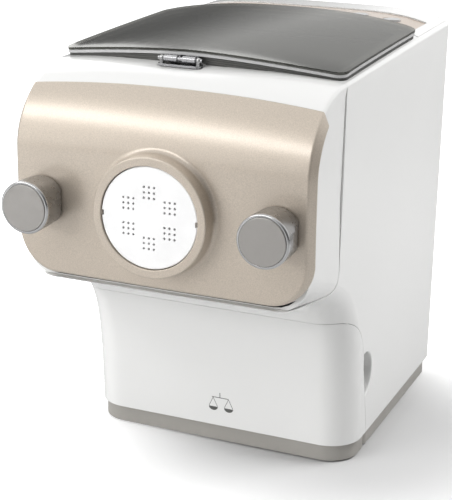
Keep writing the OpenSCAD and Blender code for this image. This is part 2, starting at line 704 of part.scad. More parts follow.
module motor_pinion() color("goldenrod") difference() {
    gear(0, motor_z, motor_pinion_teeth, cluster_module, 245, 259, 90);
    rod(0, motor_z, rotor_r, 240, 262);
}
can_d0 = 166;
module motor_can() color("lightslategray") difference() {
    union() {
        rod(0, motor_z, 33, can_d0, rear_plate_d);
        box(-30, 30, can_d0 + 12, rear_plate_d - 10, floor_top, motor_z - 20);
    }
    rod(0, motor_z, 30.5, can_d0 - 1, rear_plate_d - 3);
    rod(0, motor_z, rotor_r + running_gap, can_d0, rear_plate_d + 1);
    box(-26, 26, can_d0, rear_plate_d, floor_top + 3, motor_z - 36);
}
module motor_end_cap() color("slategray") difference() {
    rod(0, motor_z, 30.5, can_d0 - 1, can_d0 + 4);
    rod(0, motor_z, rotor_r + running_gap, can_d0 - 2, can_d0 + 6);
    for (a = [0:60:300]) rod(20 * cos(a), motor_z + 20 * sin(a), 5, can_d0 - 2, can_d0 + 6);
}
module rotor() color("peru") {
    rod(0, motor_z, rotor_r, 156, 262);
    difference() {
        rod(0, motor_z, 22, can_d0 + 10, rear_plate_d - 12);
        rod(0, motor_z, rotor_r, can_d0, rear_plate_d);
        for (a = [0:30:330]) rod(21 * cos(a), motor_z + 21 * sin(a), 2.4, can_d0, rear_plate_d);
    }
}
module cooling_fan() color("black") difference() {
    union() {
        rod(0, motor_z, 8, 156.5, 163);
        for (a = [0:45:315]) translate([0, behind(159.75), motor_z]) rotate([0, a, 0])
            translate([6, 0, 0]) rotate([35, 0, 0]) translate([0, -0.6, -3.4]) cube([22, 1.2, 6.8]);
    }
    rod(0, motor_z, rotor_r, 150, 170);
}

// ---- Paddle and screw ----
paddle_r = chamber_r - 4;
module paddle_frame(turn, r, d0, d1) translate([0, 0, axis_z]) rotate([0, turn, 0]) {
    for (d = [d0, d1 - 8]) translate([shaft_r + 2, behind(d), -3]) cube([r - shaft_r - 2, 8, 6]);
    translate([r - 7, behind(d0), -3]) cube([7, d1 - d0, 6]);
}
module mixing_paddle() color("gainsboro") difference() {
    union() {
        rod(0, axis_z, shaft_r + 5, 74, 218);
        paddle_frame(20, paddle_r, 76, 216);
        paddle_frame(200, paddle_r - 14, 96, 190);
        for (a = [110, 290]) translate([0, behind(144), axis_z]) rotate([0, a, 0])
            translate([shaft_r + 2, -5, -3]) cube([paddle_r - shaft_r - 2, 10, 6]);
    }
    rod(0, axis_z, shaft_r, 60, 230);
}
screw_l = 62;
screw_turns = 3;
flight_steps = 24 * screw_turns;
// Section of the helical flight: a tapered blade standing out from the hub at its angle.
function flight_section(i) = let(
    a = i * 360 / 24,
    d = 2 + (screw_l - 4) * i / flight_steps
) [for (p = [[7, 3], [tube_r - 0.6, 1.3], [tube_r - 0.6, -1.3], [7, -3]])
    [p[0] * cos(a), behind(d + p[1]), axis_z + p[0] * sin(a)]];
module extruder_screw() color("gainsboro") difference() {
    union() {
        rod(0, axis_z, 10, -2, 69);
        loft([for (i = [0:flight_steps]) flight_section(i)]);
    }
    rod(0, axis_z, shaft_r - 2, 49, 70);
}

// ---- Front panel and shaping disc ----
boss_flare = 8;
module boss() translate([0, behind(0), axis_z]) rotate([90, 0, 0]) rotate_extrude($fn = 96) polygon(concat(
    [[0, -1], [0, boss_reach], [boss_r - 1.5, boss_reach], [boss_r, boss_reach - 1.5]],
    [for (a = [0:15:90]) [boss_r + boss_flare * (1 - cos(a)), 0.8 + boss_flare * (1 - sin(a))]],
    [[boss_r + boss_flare, -1]]
));
module panel_shell() faceted() difference() {
    union() {
        intersection() {
            face_band(0, panel_depth, rim_slope);
            front_prism(panel_outline(0, 320), -20, 60);
            side_prism(panel_side(0));
        }
        boss();
    }
    intersection() {
        face_core(panel_t);
        front_prism(panel_outline(rim_t, 320), -20, 60);
    }
}
module front_panel() color("#c8bcab") difference() {
    panel_shell();
    rod(0, axis_z, disc_r + 0.8, -30, 10);
    rod(0, axis_z, tube_out + 2.4, -8.6, 30);
    for (s = [-1, 1]) rod(s * knob_x, knob_z, stud_r + 0.5, -20, 20);
}
hole_pitch = 3.6;
hole_ring = 17;
hole_r = 1.15;
module disc_holes() for (a = [30:60:330], i = [-1:1], j = [-1:1])
    rod(hole_ring * cos(a) + i * hole_pitch, axis_z + hole_ring * sin(a) + j * hole_pitch, hole_r, -20, 0);
module shaping_disc() color("white") difference() {
    union() {
        rod(0, axis_z, disc_r, -13.7, -5);
        rod(0, axis_z, tube_out + 2, -8.3, -5);
    }
    disc_holes();
    for (s = [-1, 1]) translate([s * disc_r, behind(-12.5), axis_z]) cube([5, 4, 5], center = true);
}

// ---- Knobs ----
knob_r = 17.8;
knob_front = -knob_reach + 0.8;
knob_rear = -2.9;
knob_h = knob_rear - knob_front;
insert_r = 7;
module knob_body(s) difference() {
    translate([s * knob_x, behind(knob_front), knob_z]) rotate([-90, 0, 0]) difference() {
        rotate_extrude() polygon([[0, 0], [knob_r - 1.8, 0], [knob_r, 2.2], [knob_r + 0.6, 6],
            [knob_r - 0.4, 12], [knob_r - 3, 19], [knob_r - 3.6, knob_h], [0, knob_h]]);
        for (k = [-1, 1]) translate([k * (knob_r + 8.2), 0, 14]) rotate([0, -k * 12, 0])
            cube([20, 40, 30], center = true);
    }
    rod(s * knob_x, knob_z, insert_r, knob_front + 5, 0);
}
module knob_cap(s) rod(s * knob_x, knob_z, 15.5, -knob_reach, knob_front);
module knob_insert(s) difference() {
    rod(s * knob_x, knob_z, insert_r, knob_front + 5, knob_rear);
    rod(s * knob_x, knob_z, stud_r + running_gap, knob_front + 6, 0);
}
module left_knob() color("silver") knob_body(-1);
module left_knob_cap() color("darkgray") knob_cap(-1);
module left_knob_insert() color("goldenrod") knob_insert(-1);
module right_knob() color("silver") knob_body(1);
module right_knob_cap() color("darkgray") knob_cap(1);
module right_knob_insert() color("goldenrod") knob_insert(1);

// ---- Drawer ----
tray_d0 = 112;
tray_t = 2;
tray_x = 86;
tray_z = 17;
tray_top = 100;
module drawer_front() color("white") faceted() intersection() {
    difference() {
        form();
        form(wall, wall, plinth_h - 4);
    }
    side_prism(drawer_outline(0));
}
module drawer_plinth() color("#a8a39f") difference() {
    union() {
        plate(plinth_x, sweep_d + 1.6, drawer_back_d + 60, foot_h, plinth_h, edge_r - plinth_inset);
    }
    plate(plinth_x - plinth_wall, sweep_d + 1.6 + plinth_wall, drawer_back_d + 60,
        foot_h - 1, plinth_h + 1, edge_r - plinth_inset - plinth_wall);
    box(-half_w, half_w, drawer_back_d - 0.3, drawer_back_d + 70, 0, plinth_h + 1);
}
module drawer_tray() color("whitesmoke") {
    difference() {
        box(-tray_x, tray_x, tray_d0, tray_d0 + tray_l + 2 * tray_t, tray_z, tray_top);
        box(-tray_x + tray_t, tray_x - tray_t, tray_d0 + tray_t, tray_d0 + tray_t + tray_l,
            tray_z + tray_t, tray_top + 1);
    }
    for (s = [-1, 1]) box(s * (tray_x + 1.6) - 1.6, s * (tray_x + 1.6) + 1.6, tray_d0,
        tray_d0 + tray_l + 2 * tray_t, tray_z, tray_z + 6);
    for (s = [-1, 1]) translate([s * 60, 0, 0]) side_prism(concat(
        [for (z = [tray_z + 4:8:tray_z + 36]) [front_d(z) + wall + 0.05, z]],
        [[tray_d0, tray_z + 36], [tray_d0, tray_z + 4]]
    ), 24);
}
module stored_discs() color("white") for (x = [-42, 42]) difference() {
    union() {
        rod(x, tray_z + tray_t + tube_out + 2, tube_out + 2, tray_d0 + 8, tray_d0 + 11.3);
        rod(x, tray_z + tray_t + tube_out + 2, disc_r, tray_d0 + 11.3, tray_d0 + 16.7);
    }
    for (a = [0:45:315]) rod(x + 16 * cos(a), tray_z + tray_t + tube_out + 2 + 16 * sin(a), 3, 100, 160);
}
module drawer_rails() color("lightgray") for (s = [-1, 1])
    box(s * 91.5 - 2, s * 91.5 + 2, 120, 158, floor_top, 26);

// ---- Lid ----
trim_w = 2.5;
module lid_shell() color([0.45, 0.46, 0.44, 0.6]) lid_layer(0, lid_t, trim_w);
module lid_rim() color("silver") difference() {
    lid_layer(0, trim_t, 0);
    lid_prism(trim_w);
}
module lid_skirt() color("lightgray") difference() {
    lid_layer(0, rim_h, 0.4);
    lid_layer(-1, trim_t, -1);
    lid_prism(trim_w);
    leaf_tabs();
}
knuckle_r = 2.2;
pin_r = 1.3;
lug_w = 3;
lugs = [hinge_x0, (hinge_x0 + hinge_x1 - lug_w) / 2, hinge_x1 - lug_w];
// The lid's knuckles fill the two spaces between the lugs.
leaf_spans = [for (i = [0, 1]) [lugs[i] + lug_w + 0.4, lugs[i + 1] - 0.4]];
module hinge_rod(x0, x1, r) translate([x0, behind(hinge_d), hinge_z]) rotate([0, 90, 0])
    cylinder(r = r, h = x1 - x0);
module hinge_bracket() color("silver") difference() {
    union() {
        box(hinge_x0, hinge_x1, hinge_d - 3.2, hinge_back_d - 0.5, pocket_z + 0.2, hinge_z - knuckle_r - 0.4);
        for (x = lugs) {
            hinge_rod(x, x + lug_w, knuckle_r);
            box(x, x + lug_w, hinge_d - knuckle_r, hinge_d + knuckle_r, pocket_z + 1, hinge_z);
        }
    }
    hinge_rod(hinge_x0 - 1, hinge_x1 + 1, pin_r);
}
module hinge_pin() color("silver") hinge_rod(hinge_x0 - 1.2, hinge_x1 + 1.2, pin_r);
// Tabs that stand up into the lid's skirt.
module leaf_tabs() for (x = leaf_spans)
    box(x[0], x[1], lid_front + 0.9, lid_front + 2.3, hinge_z - 0.6, lid_z - rim_h + 0.6);
module hinge_leaf() color("silver") difference() {
    union() {
        for (x = leaf_spans) {
            hinge_rod(x[0], x[1], knuckle_r);
            box(x[0], x[1], hinge_d + pin_r, lid_front + 2.3, hinge_z - 0.6, hinge_z + 0.8);
        }
        leaf_tabs();
    }
    hinge_rod(hinge_x0, hinge_x1, pin_r + running_gap);
}
module lid_switch() color("black") {
    box(-8, 8, seam_d + 0.4, seam_d + 5.6, 272, 288);
    post(4, seam_d + 3, 288, 293, 1);
}

base_plate();
plinth();
feet();
load_cells();
housing_screws();
main_housing();
head_housing();
top_deck();
rear_cover();
chassis();
panel_studs();
mixing_chamber();
chamber_gasket();
shaft_seal();
extrusion_tube();
tube_seal();
gearbox_housing();
gearbox_cover();
gearbox_screws();
gear_bearings();
motor_can();
motor_end_cap();
control_panel();
display_window();
control_board();
power_board();
power_inlet();
drawer_rails();
hinge_bracket();
hinge_pin();
lid_switch();
lid_shell();
lid_rim();
lid_skirt();
hinge_leaf();
front_panel();
shaping_disc();
left_knob();
left_knob_cap();
left_knob_insert();
right_knob();
right_knob_cap();
right_knob_insert();
drawer_front();
drawer_plinth();
drawer_tray();
stored_discs();
drive_shaft();
output_gear();
mixing_paddle();
extruder_screw();
cluster_shaft();
cluster_gear();
rotor();
motor_pinion();
cooling_fan();
power_button();
start_button();
programme_button();
flour_button();
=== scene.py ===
import json
import math

import bmesh
import bpy
from mathutils import Matrix, Quaternion, Vector
from mathutils.bvhtree import BVHTree
from mathutils.interpolate import poly_3d_calc


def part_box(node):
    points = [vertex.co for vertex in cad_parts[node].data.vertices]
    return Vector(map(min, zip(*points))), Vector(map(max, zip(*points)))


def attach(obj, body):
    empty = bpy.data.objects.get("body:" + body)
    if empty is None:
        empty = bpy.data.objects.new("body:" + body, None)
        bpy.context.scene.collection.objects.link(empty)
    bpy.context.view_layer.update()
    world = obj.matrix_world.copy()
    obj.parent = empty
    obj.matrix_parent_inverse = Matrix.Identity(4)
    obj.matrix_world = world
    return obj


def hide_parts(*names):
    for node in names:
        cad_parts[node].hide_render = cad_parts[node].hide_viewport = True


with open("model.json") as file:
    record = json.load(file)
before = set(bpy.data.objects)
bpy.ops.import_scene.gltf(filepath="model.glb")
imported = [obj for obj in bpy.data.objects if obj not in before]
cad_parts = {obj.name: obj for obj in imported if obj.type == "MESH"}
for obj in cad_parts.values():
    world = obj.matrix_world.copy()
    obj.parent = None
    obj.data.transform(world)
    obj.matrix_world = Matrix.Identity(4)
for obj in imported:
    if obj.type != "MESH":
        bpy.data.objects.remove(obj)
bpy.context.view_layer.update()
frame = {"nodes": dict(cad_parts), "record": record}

# Lengths below are in millimetres and turned into metres where a mesh is made.
# X is across, d is the distance behind the front panel's face, Z is up from the table.
MM = 0.001
record = frame["record"]


def extent(node):
    """Lowest and highest corners of a CAD node in millimetres."""
    low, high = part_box(node)
    return low / MM, high / MM


# ---- Driving dimensions, the same as the CAD model's ----
knob_reach = 28.3
panel_y = extent("left_knob_cap")[0].y + knob_reach
half_w = extent("main_housing")[1].x
panel_half = extent("front_panel")[1].x
rear_d = extent("rear_cover")[1].y - panel_y
axis_z = (extent("shaping_disc")[0].z + extent("shaping_disc")[1].z) / 2
knob_x = (extent("right_knob_cap")[0].x + extent("right_knob_cap")[1].x) / 2
knob_z = (extent("right_knob_cap")[0].z + extent("right_knob_cap")[1].z) / 2
wall = 2.8
gap = 0.3
seam_gap = 0.14
seam_d = 60
deck_d = 232
plinth_top = 14.5
room_z = plinth_top - 4
side_h = 292
side_rise = 7.6
crown_h = 12.5
edge_r = 25
crease_r = 2.2
rear_r = 5

# Front of the lower body: a shallow lean that sweeps forward under the front panel.
sweep_d = 104.8
sweep_lean = 0.065
sweep_reach = 35.5
sweep_fade = 21
seam_z = 131
neck_low = 96
neck_z = 150.5

# Face of the head, its roll into the top, and the crown of the top.
panel_z = 155.5
panel_corner = 30
panel_t = 3
panel_depth = 6.2
bulge = 3.3
face_bow = 1.3
roll_d = 60
roll_z = 240
roll_power = 2 / 1.93
panel_top_d = 22.5
panel_top_z = 281
head_half = 103.7
head_taper_d = 20
head_z = 152
head_corner = 14
crown_mid = 200
crown_front = 238
crown_rear = 205
crown_front_power = 1.4
crown_power = 2
crown_power_gain = 3

# The lid.
lid_half = 103
lid_z = 307
lid_front = 50
lid_rear = 231
lid_bow = 12
lid_drop = 8.7
lid_rise = 7.6
lid_arch = 4
lid_side_rise = 6.6
lid_side_arch = 2
lid_corner_dip = 1.3
lid_power = 1.7
lid_power_gain = 0.77
lid_corner = 10
lid_corner_a = math.radians(78)
glass_t = 1.5
groove_t = 0.5
band_t = 1.9

# Drawer and grips.
drawer_z = 118
drawer_back_d = 141
drawer_arc_r = 47
drawer_arc_d = 80
grip_d = 130
grip_z = 64
grip_r = 17.5
grip_depth = 10

# Boss, disc, and the bore for the extrusion tube.
boss_r = 40.5
boss_reach = 14.8
disc_r = 34.2
disc_seat_d = -8.6
tube_out = 34
tube_bore = tube_out + 2.4

# Reach of the cutting tools: clear of the machine in front and above, and past the face's roll.
ahead = -60
above = 345
past_roll = 80

# The innermost radius of a turned profile, so that no points meet on the axis.
centre = 0.01


def sweep(z):
    """How far the lower body has swept forward at a height, one at the seam."""
    return math.exp((z - seam_z) / sweep_fade)


def front_d(z):
    """Depth of the lower body's front."""
    return sweep_d - sweep_lean * z - sweep_reach * sweep(z)


def front_slope(z):
    return -sweep_lean - sweep_reach / sweep_fade * sweep(z)


def bow(x):
    """How far the head's face falls back towards its sides."""
    return face_bow * (x / half_w) ** 2


def face_d(x, z):
    """Depth of the head's face below its roll."""
    return bow(x) - bulge * (1 - ((roll_z - z) / (roll_z - panel_z)) ** 2)


def crease_z(d):
    """Height of the top's side edges."""
    return side_h + side_rise * (d - roll_d) / (rear_d - roll_d)


def crown(x, d):
    """How far the top stands above its side edges."""
    if d < crown_mid:
        lengthwise = 1 - min(1, (crown_mid - d) / crown_front) ** crown_front_power
    else:
        lengthwise = 1 - ((d - crown_mid) / crown_rear) ** 2
    power = crown_power + crown_power_gain * max(0, d) / rear_d
    return crown_h * lengthwise * (1 - min(1, abs(x) / half_w) ** power)


def top_z(x, d):
    return crease_z(d) + crown(x, d)


def roll(x, a, inset, drop=0):
    """A point of the head's roll at angle a, moved inwards; the crown lifts it."""
    c = math.cos(a)
    s = math.sin(a)
    d = roll_d - (roll_d + bulge - bow(x) - inset) * c ** roll_power + drop * c
    z = roll_z + (side_h - roll_z - inset) * s ** roll_power - drop * s
    return d, z + crown(x, d)


def lid_top_z(x, d):
    """Height of the lid's top: an arched middle line that falls off to its sides."""
    t = (d - lid_front) / (lid_rear - lid_front)
    u = min(1, abs(x) / lid_half)
    middle = lid_z + lid_rise * t + lid_arch * t * (1 - t)
    side = lid_z - lid_drop + lid_side_rise * t + lid_side_arch * t * (1 - t)
    dip = lid_corner_dip * u * u * max(0, 1 - 5 * t) ** 2
    return middle - (middle - side) * u ** (lid_power + lid_power_gain * t) - dip


# ---- Mesh helpers ----
def steps(start, end, count):
    """Evenly spaced values from start to end, both included."""
    return [start + (end - start) * i / count for i in range(count + 1)]


def new_object(name, points, faces):
    """A mesh object from points in millimetres, with its faces turned outwards."""
    mesh = bpy.data.meshes.new(name)
    mesh.from_pydata([(x * MM, y * MM, z * MM) for x, y, z in points], [], faces)
    shape = bmesh.new()
    shape.from_mesh(mesh)
    if shape.calc_volume(signed=True) < 0:
        bmesh.ops.reverse_faces(shape, faces=shape.faces)
        shape.to_mesh(mesh)
    shape.free()
    obj = bpy.data.objects.new(name, mesh)
    bpy.context.scene.collection.objects.link(obj)
    return obj


def loft(name, sections):
    """Skins closed sections with the same number of points, and closes both ends."""
    n = len(sections)
    m = len(sections[0])
    faces = []
    for i in range(n - 1):
        for j in range(m):
            k = (j + 1) % m
            faces.append((i * m + j, i * m + k, (i + 1) * m + k, (i + 1) * m + j))
    faces.append(tuple(range(m - 1, -1, -1)))
    faces.append(tuple((n - 1) * m + j for j in range(m)))
    return new_object(name, [p for s in sections for p in s], faces)


def cut(obj, *tools, how="DIFFERENCE"):
    """Combines obj with each tool and removes the tools."""
    for tool in tools:
        modifier = obj.modifiers.new("cut", "BOOLEAN")
        modifier.operation = how
        modifier.solver = "MANIFOLD"
        modifier.object = tool
        graph = bpy.context.evaluated_depsgraph_get()
        mesh = bpy.data.meshes.new_from_object(obj.evaluated_get(graph))
        obj.modifiers.clear()
        old = obj.data
        obj.data = mesh
        bpy.data.meshes.remove(old)
        old_tool = tool.data
        bpy.data.objects.remove(tool)
        bpy.data.meshes.remove(old_tool)
    return obj


def keep(obj, *tools):
    """What obj shares with each tool."""
    return cut(obj, *tools, how="INTERSECT")


def add(obj, *tools):
    """Joins the tools to obj."""
    return cut(obj, *tools, how="UNION")


def side_prism(points, x0=-130, x1=130):
    """A side view outline of (d, z) points, extruded across the machine."""
    return loft("tool", [[(x, panel_y + d, z) for d, z in points] for x in (x0, x1)])


def front_prism(points, d0, d1):
    """A front view outline of (x, z) points, extruded from d0 to d1."""
    return loft("tool", [[(x, panel_y + d, z) for x, z in points] for d in (d1, d0)])


def plan_prism(points, z0, z1):
    """A plan outline of (x, d) points, extruded upwards."""
    return loft("tool", [[(x, panel_y + d, z) for x, d in points] for z in (z1, z0)])


def block(x0, x1, d0, d1, z0, z1):
    """A box between two depths."""
    return plan_prism([(x0, d0), (x1, d0), (x1, d1), (x0, d1)], z0, z1)


def arc(cx, cy, r, a0, a1, count):
    """Points on a circle between two angles in degrees."""
    angles = [math.radians(a) for a in steps(a0, a1, count)]
    return [(cx + r * math.cos(a), cy + r * math.sin(a)) for a in angles]


def rounded(x0, x1, y0, y1, r, count=8):
    """A rectangle's outline with round corners."""
    return (arc(x1 - r, y1 - r, r, 0, 90, count) + arc(x0 + r, y1 - r, r, 90, 180, count)
            + arc(x0 + r, y0 + r, r, 180, 270, count) + arc(x1 - r, y0 + r, r, 270, 360, count))


def ring_faces(count, m):
    """The faces that join count closed profiles of m points round a full circle."""
    faces = []
    for i in range(count):
        after = (i + 1) % count
        for j in range(m):
            k = (j + 1) % m
            faces.append((i * m + j, after * m + j, after * m + k, i * m + k))
    return faces


def turned(name, profile, x, z, count):
    """A closed (radius, d) profile revolved about the line through x and z along Y."""
    points = []
    for i in range(count):
        a = math.tau * i / count
        points += [(x + r * math.cos(a), panel_y + d, z + r * math.sin(a)) for r, d in profile]
    return new_object(name, points, ring_faces(count, len(profile)))


def rod(x, z, r, d0, d1, count=64):
    """A round bar along Y."""
    return front_prism(arc(x, z, r, 0, 360 - 360 / count, count - 1), d0, d1)


def smooth(mesh, sharp):
    """Smooth shading, with edges above an angle in degrees left sharp."""
    mesh.shade_smooth()
    mesh.set_sharp_from_angle(angle=math.radians(sharp))


def shade_like(obj, source, sharp):
    """Gives obj the normals of the uncut surface that it was made from, and removes that surface."""
    whole = source.data
    smooth(whole, sharp)
    whole.calc_loop_triangles()
    places = [v.co.copy() for v in whole.vertices]
    triangles = [tuple(t.vertices) for t in whole.loop_triangles]
    corners = [tuple(t.loops) for t in whole.loop_triangles]
    whole_normals = [n.vector.copy() for n in whole.corner_normals]
    tree = BVHTree.FromPolygons(places, triangles)
    mesh = obj.data
    smooth(mesh, sharp)
    normals = [n.vector.copy() for n in mesh.corner_normals]
    reach = 0.15 * MM
    alike = 0.9
    inwards = 0.03
    for face in mesh.polygons:
        _, direction, index, _ = tree.find_nearest(face.center, reach)
        if index is None or direction.dot(face.normal) < alike:
            continue
        for loop in face.loop_indices:
            vertex = mesh.vertices[mesh.loops[loop].vertex_index]
            corner = vertex.co.lerp(face.center, inwards)
            spot, _, index, _ = tree.find_nearest(corner)
            weights = poly_3d_calc([places[v] for v in triangles[index]], spot)
            blend = Vector()
            for weight, k in zip(weights, corners[index]):
                blend += weight * whole_normals[k]
            if blend.dot(face.normal) > 0.5:
                normals[loop] = blend.normalized()
    mesh.normals_split_custom_set(normals)
    bpy.data.objects.remove(source)
    bpy.data.meshes.remove(whole)


def piece(obj, name, body, slot, replaced=(), sharp=32, like=None, look=None):
    """Shades a finished piece, names it, gives it its slot's material or the look in place of it,
    parents it to its body's empty and hides the CAD nodes it replaces.
    """
    obj.name = name
    mesh = obj.data
    mesh.name = name
    if like:
        shade_like(obj, like, sharp)
    else:
        smooth(mesh, sharp)
        normals = obj.modifiers.new("normals", "WEIGHTED_NORMAL")
        normals.keep_sharp = True
    mesh.materials.clear()
    mesh.materials.append(materials[look or slot])
    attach(obj, body)
    if replaced:
        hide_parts(*replaced)
    return obj


# ---- Materials ----
def shader(name, color, roughness, metallic=0.0, coat=0.0):
    """A material and its shader node."""
    material = bpy.data.materials.new(name)
    material.use_nodes = True
    bsdf = material.node_tree.nodes["Principled BSDF"]
    bsdf.inputs["Base Color"].default_value = (*color, 1)
    bsdf.inputs["Roughness"].default_value = roughness
    bsdf.inputs["Metallic"].default_value = metallic
    bsdf.inputs["Coat Weight"].default_value = coat
    bsdf.inputs["IOR"].default_value = 1.45
    return material, bsdf


def noise(material, scale, detail=3.0, stretch=(1, 1, 1)):
    """Object-space noise, so that its grain keeps its real size."""
    tree = material.node_tree
    place = tree.nodes.new("ShaderNodeTexCoord")
    mapping = tree.nodes.new("ShaderNodeMapping")
    mapping.inputs["Scale"].default_value = stretch
    texture = tree.nodes.new("ShaderNodeTexNoise")
    texture.inputs["Scale"].default_value = scale
    texture.inputs["Detail"].default_value = detail
    tree.links.new(place.outputs["Object"], mapping.inputs["Vector"])
    tree.links.new(mapping.outputs["Vector"], texture.inputs["Vector"])
    return texture


def ramp(material, source, low, high):
    """Turns a noise into a value between low and high."""
    node = material.node_tree.nodes.new("ShaderNodeMapRange")
    node.inputs["From Min"].default_value = 0.3
    node.inputs["From Max"].default_value = 0.7
    node.inputs["To Min"].default_value = low
    node.inputs["To Max"].default_value = high
    material.node_tree.links.new(source.outputs["Fac"], node.inputs["Value"])
    return node


def vary_roughness(material, bsdf, scale, low, high, stretch=(1, 1, 1)):
    """Uneven gloss."""
    node = ramp(material, noise(material, scale, 3.0, stretch), low, high)
    material.node_tree.links.new(node.outputs["Result"], bsdf.inputs["Roughness"])


def vary_color(material, bsdf, scale, first, second):
    """A mottle between two colours."""
    tree = material.node_tree
    mix = tree.nodes.new("ShaderNodeMix")
    mix.data_type = "RGBA"
    mix.inputs["A"].default_value = (*first, 1)
    mix.inputs["B"].default_value = (*second, 1)
    node = ramp(material, noise(material, scale), 0, 1)
    tree.links.new(node.outputs["Result"], mix.inputs["Factor"])
    tree.links.new(mix.outputs["Result"], bsdf.inputs["Base Color"])


def finish_surface(material, bsdf, scale, strength, distance, edge=0.0):
    """Fine bump over softened edges."""
    tree = material.node_tree
    bump = tree.nodes.new("ShaderNodeBump")
    bump.inputs["Strength"].default_value = strength
    bump.inputs["Distance"].default_value = distance * MM
    tree.links.new(noise(material, scale, 4.0).outputs["Fac"], bump.inputs["Height"])
    if edge:
        bevel = tree.nodes.new("ShaderNodeBevel")
        bevel.samples = 6
        bevel.inputs["Radius"].default_value = edge * MM
        tree.links.new(bevel.outputs["Normal"], bump.inputs["Normal"])
    tree.links.new(bump.outputs["Normal"], bsdf.inputs["Normal"])


def gloss_plastic(name, color):
    """Gloss moulding with a faint orange peel."""
    material, bsdf = shader(name, color, 0.16, coat=0.3)
    bsdf.inputs["Coat Roughness"].default_value = 0.06
    vary_roughness(material, bsdf, 180, 0.15, 0.19)
    finish_surface(material, bsdf, 900, 0.05, 0.02, edge=0.45)
    return material


def satin_metallic(name, color, dark):
    """Metallic paint: flakes as fine colour grain under a soft sheen."""
    material, bsdf = shader(name, color, 0.36, metallic=0.5, coat=0.8)
    bsdf.inputs["Coat Roughness"].default_value = 0.24
    bsdf.inputs["Coat IOR"].default_value = 1.7
    vary_color(material, bsdf, 1400, color, dark)
    vary_roughness(material, bsdf, 700, 0.34, 0.40)
    finish_surface(material, bsdf, 1600, 0.12, 0.02, edge=0.5)
    return material


def moulded(name, color, roughness, grain=900, strength=0.1, edge=0.3):
    """Satin or matt moulding with a fine grain."""
    material, bsdf = shader(name, color, roughness)
    vary_color(material, bsdf, 60, color, tuple(c * 0.94 for c in color))
    vary_roughness(material, bsdf, 300, roughness - 0.03, roughness + 0.04)
    finish_surface(material, bsdf, grain, strength, 0.03, edge)
    return material


def metal(name, color, roughness, stretch=(1, 1, 1), edge=0.25):
    """Bare or plated metal; a stretched noise gives it a grain."""
    material, bsdf = shader(name, color, roughness, metallic=1.0)
    vary_roughness(material, bsdf, 400, roughness * 0.85, roughness * 1.2, stretch)
    finish_surface(material, bsdf, 1200, 0.04, 0.01, edge)
    return material


def smoke_lid(name):
    """Clear smoke-tinted plastic: a tint to see through, and a mirror that grows at low angles.

    Facing is the same on both faces, where a Fresnel node would turn the inner face opaque.
    """
    straight_on = 0.04
    material = bpy.data.materials.new(name)
    material.use_nodes = True
    tree = material.node_tree
    tree.nodes.remove(tree.nodes["Principled BSDF"])
    output = tree.nodes["Material Output"]
    through = tree.nodes.new("ShaderNodeBsdfTransparent")
    through.inputs["Color"].default_value = (0.40, 0.40, 0.38, 1)
    glossy = tree.nodes.new("ShaderNodeBsdfGlossy")
    glossy.inputs["Color"].default_value = (0.84, 0.84, 0.82, 1)
    facing = tree.nodes.new("ShaderNodeLayerWeight")
    facing.inputs["Blend"].default_value = 0.5
    steep = tree.nodes.new("ShaderNodeMath")
    steep.operation = "POWER"
    steep.inputs[1].default_value = 5
    share = tree.nodes.new("ShaderNodeMath")
    share.operation = "MULTIPLY_ADD"
    share.inputs[1].default_value = 1 - straight_on
    share.inputs[2].default_value = straight_on
    mix = tree.nodes.new("ShaderNodeMixShader")
    rough = ramp(material, noise(material, 120), 0.06, 0.08)
    tree.links.new(rough.outputs["Result"], glossy.inputs["Roughness"])
    tree.links.new(facing.outputs["Facing"], steep.inputs[0])
    tree.links.new(steep.outputs["Value"], share.inputs[0])
    tree.links.new(share.outputs["Value"], mix.inputs["Fac"])
    tree.links.new(through.outputs["BSDF"], mix.inputs[1])
    tree.links.new(glossy.outputs["BSDF"], mix.inputs[2])
    tree.links.new(mix.outputs["Shader"], output.inputs["Surface"])
    return material


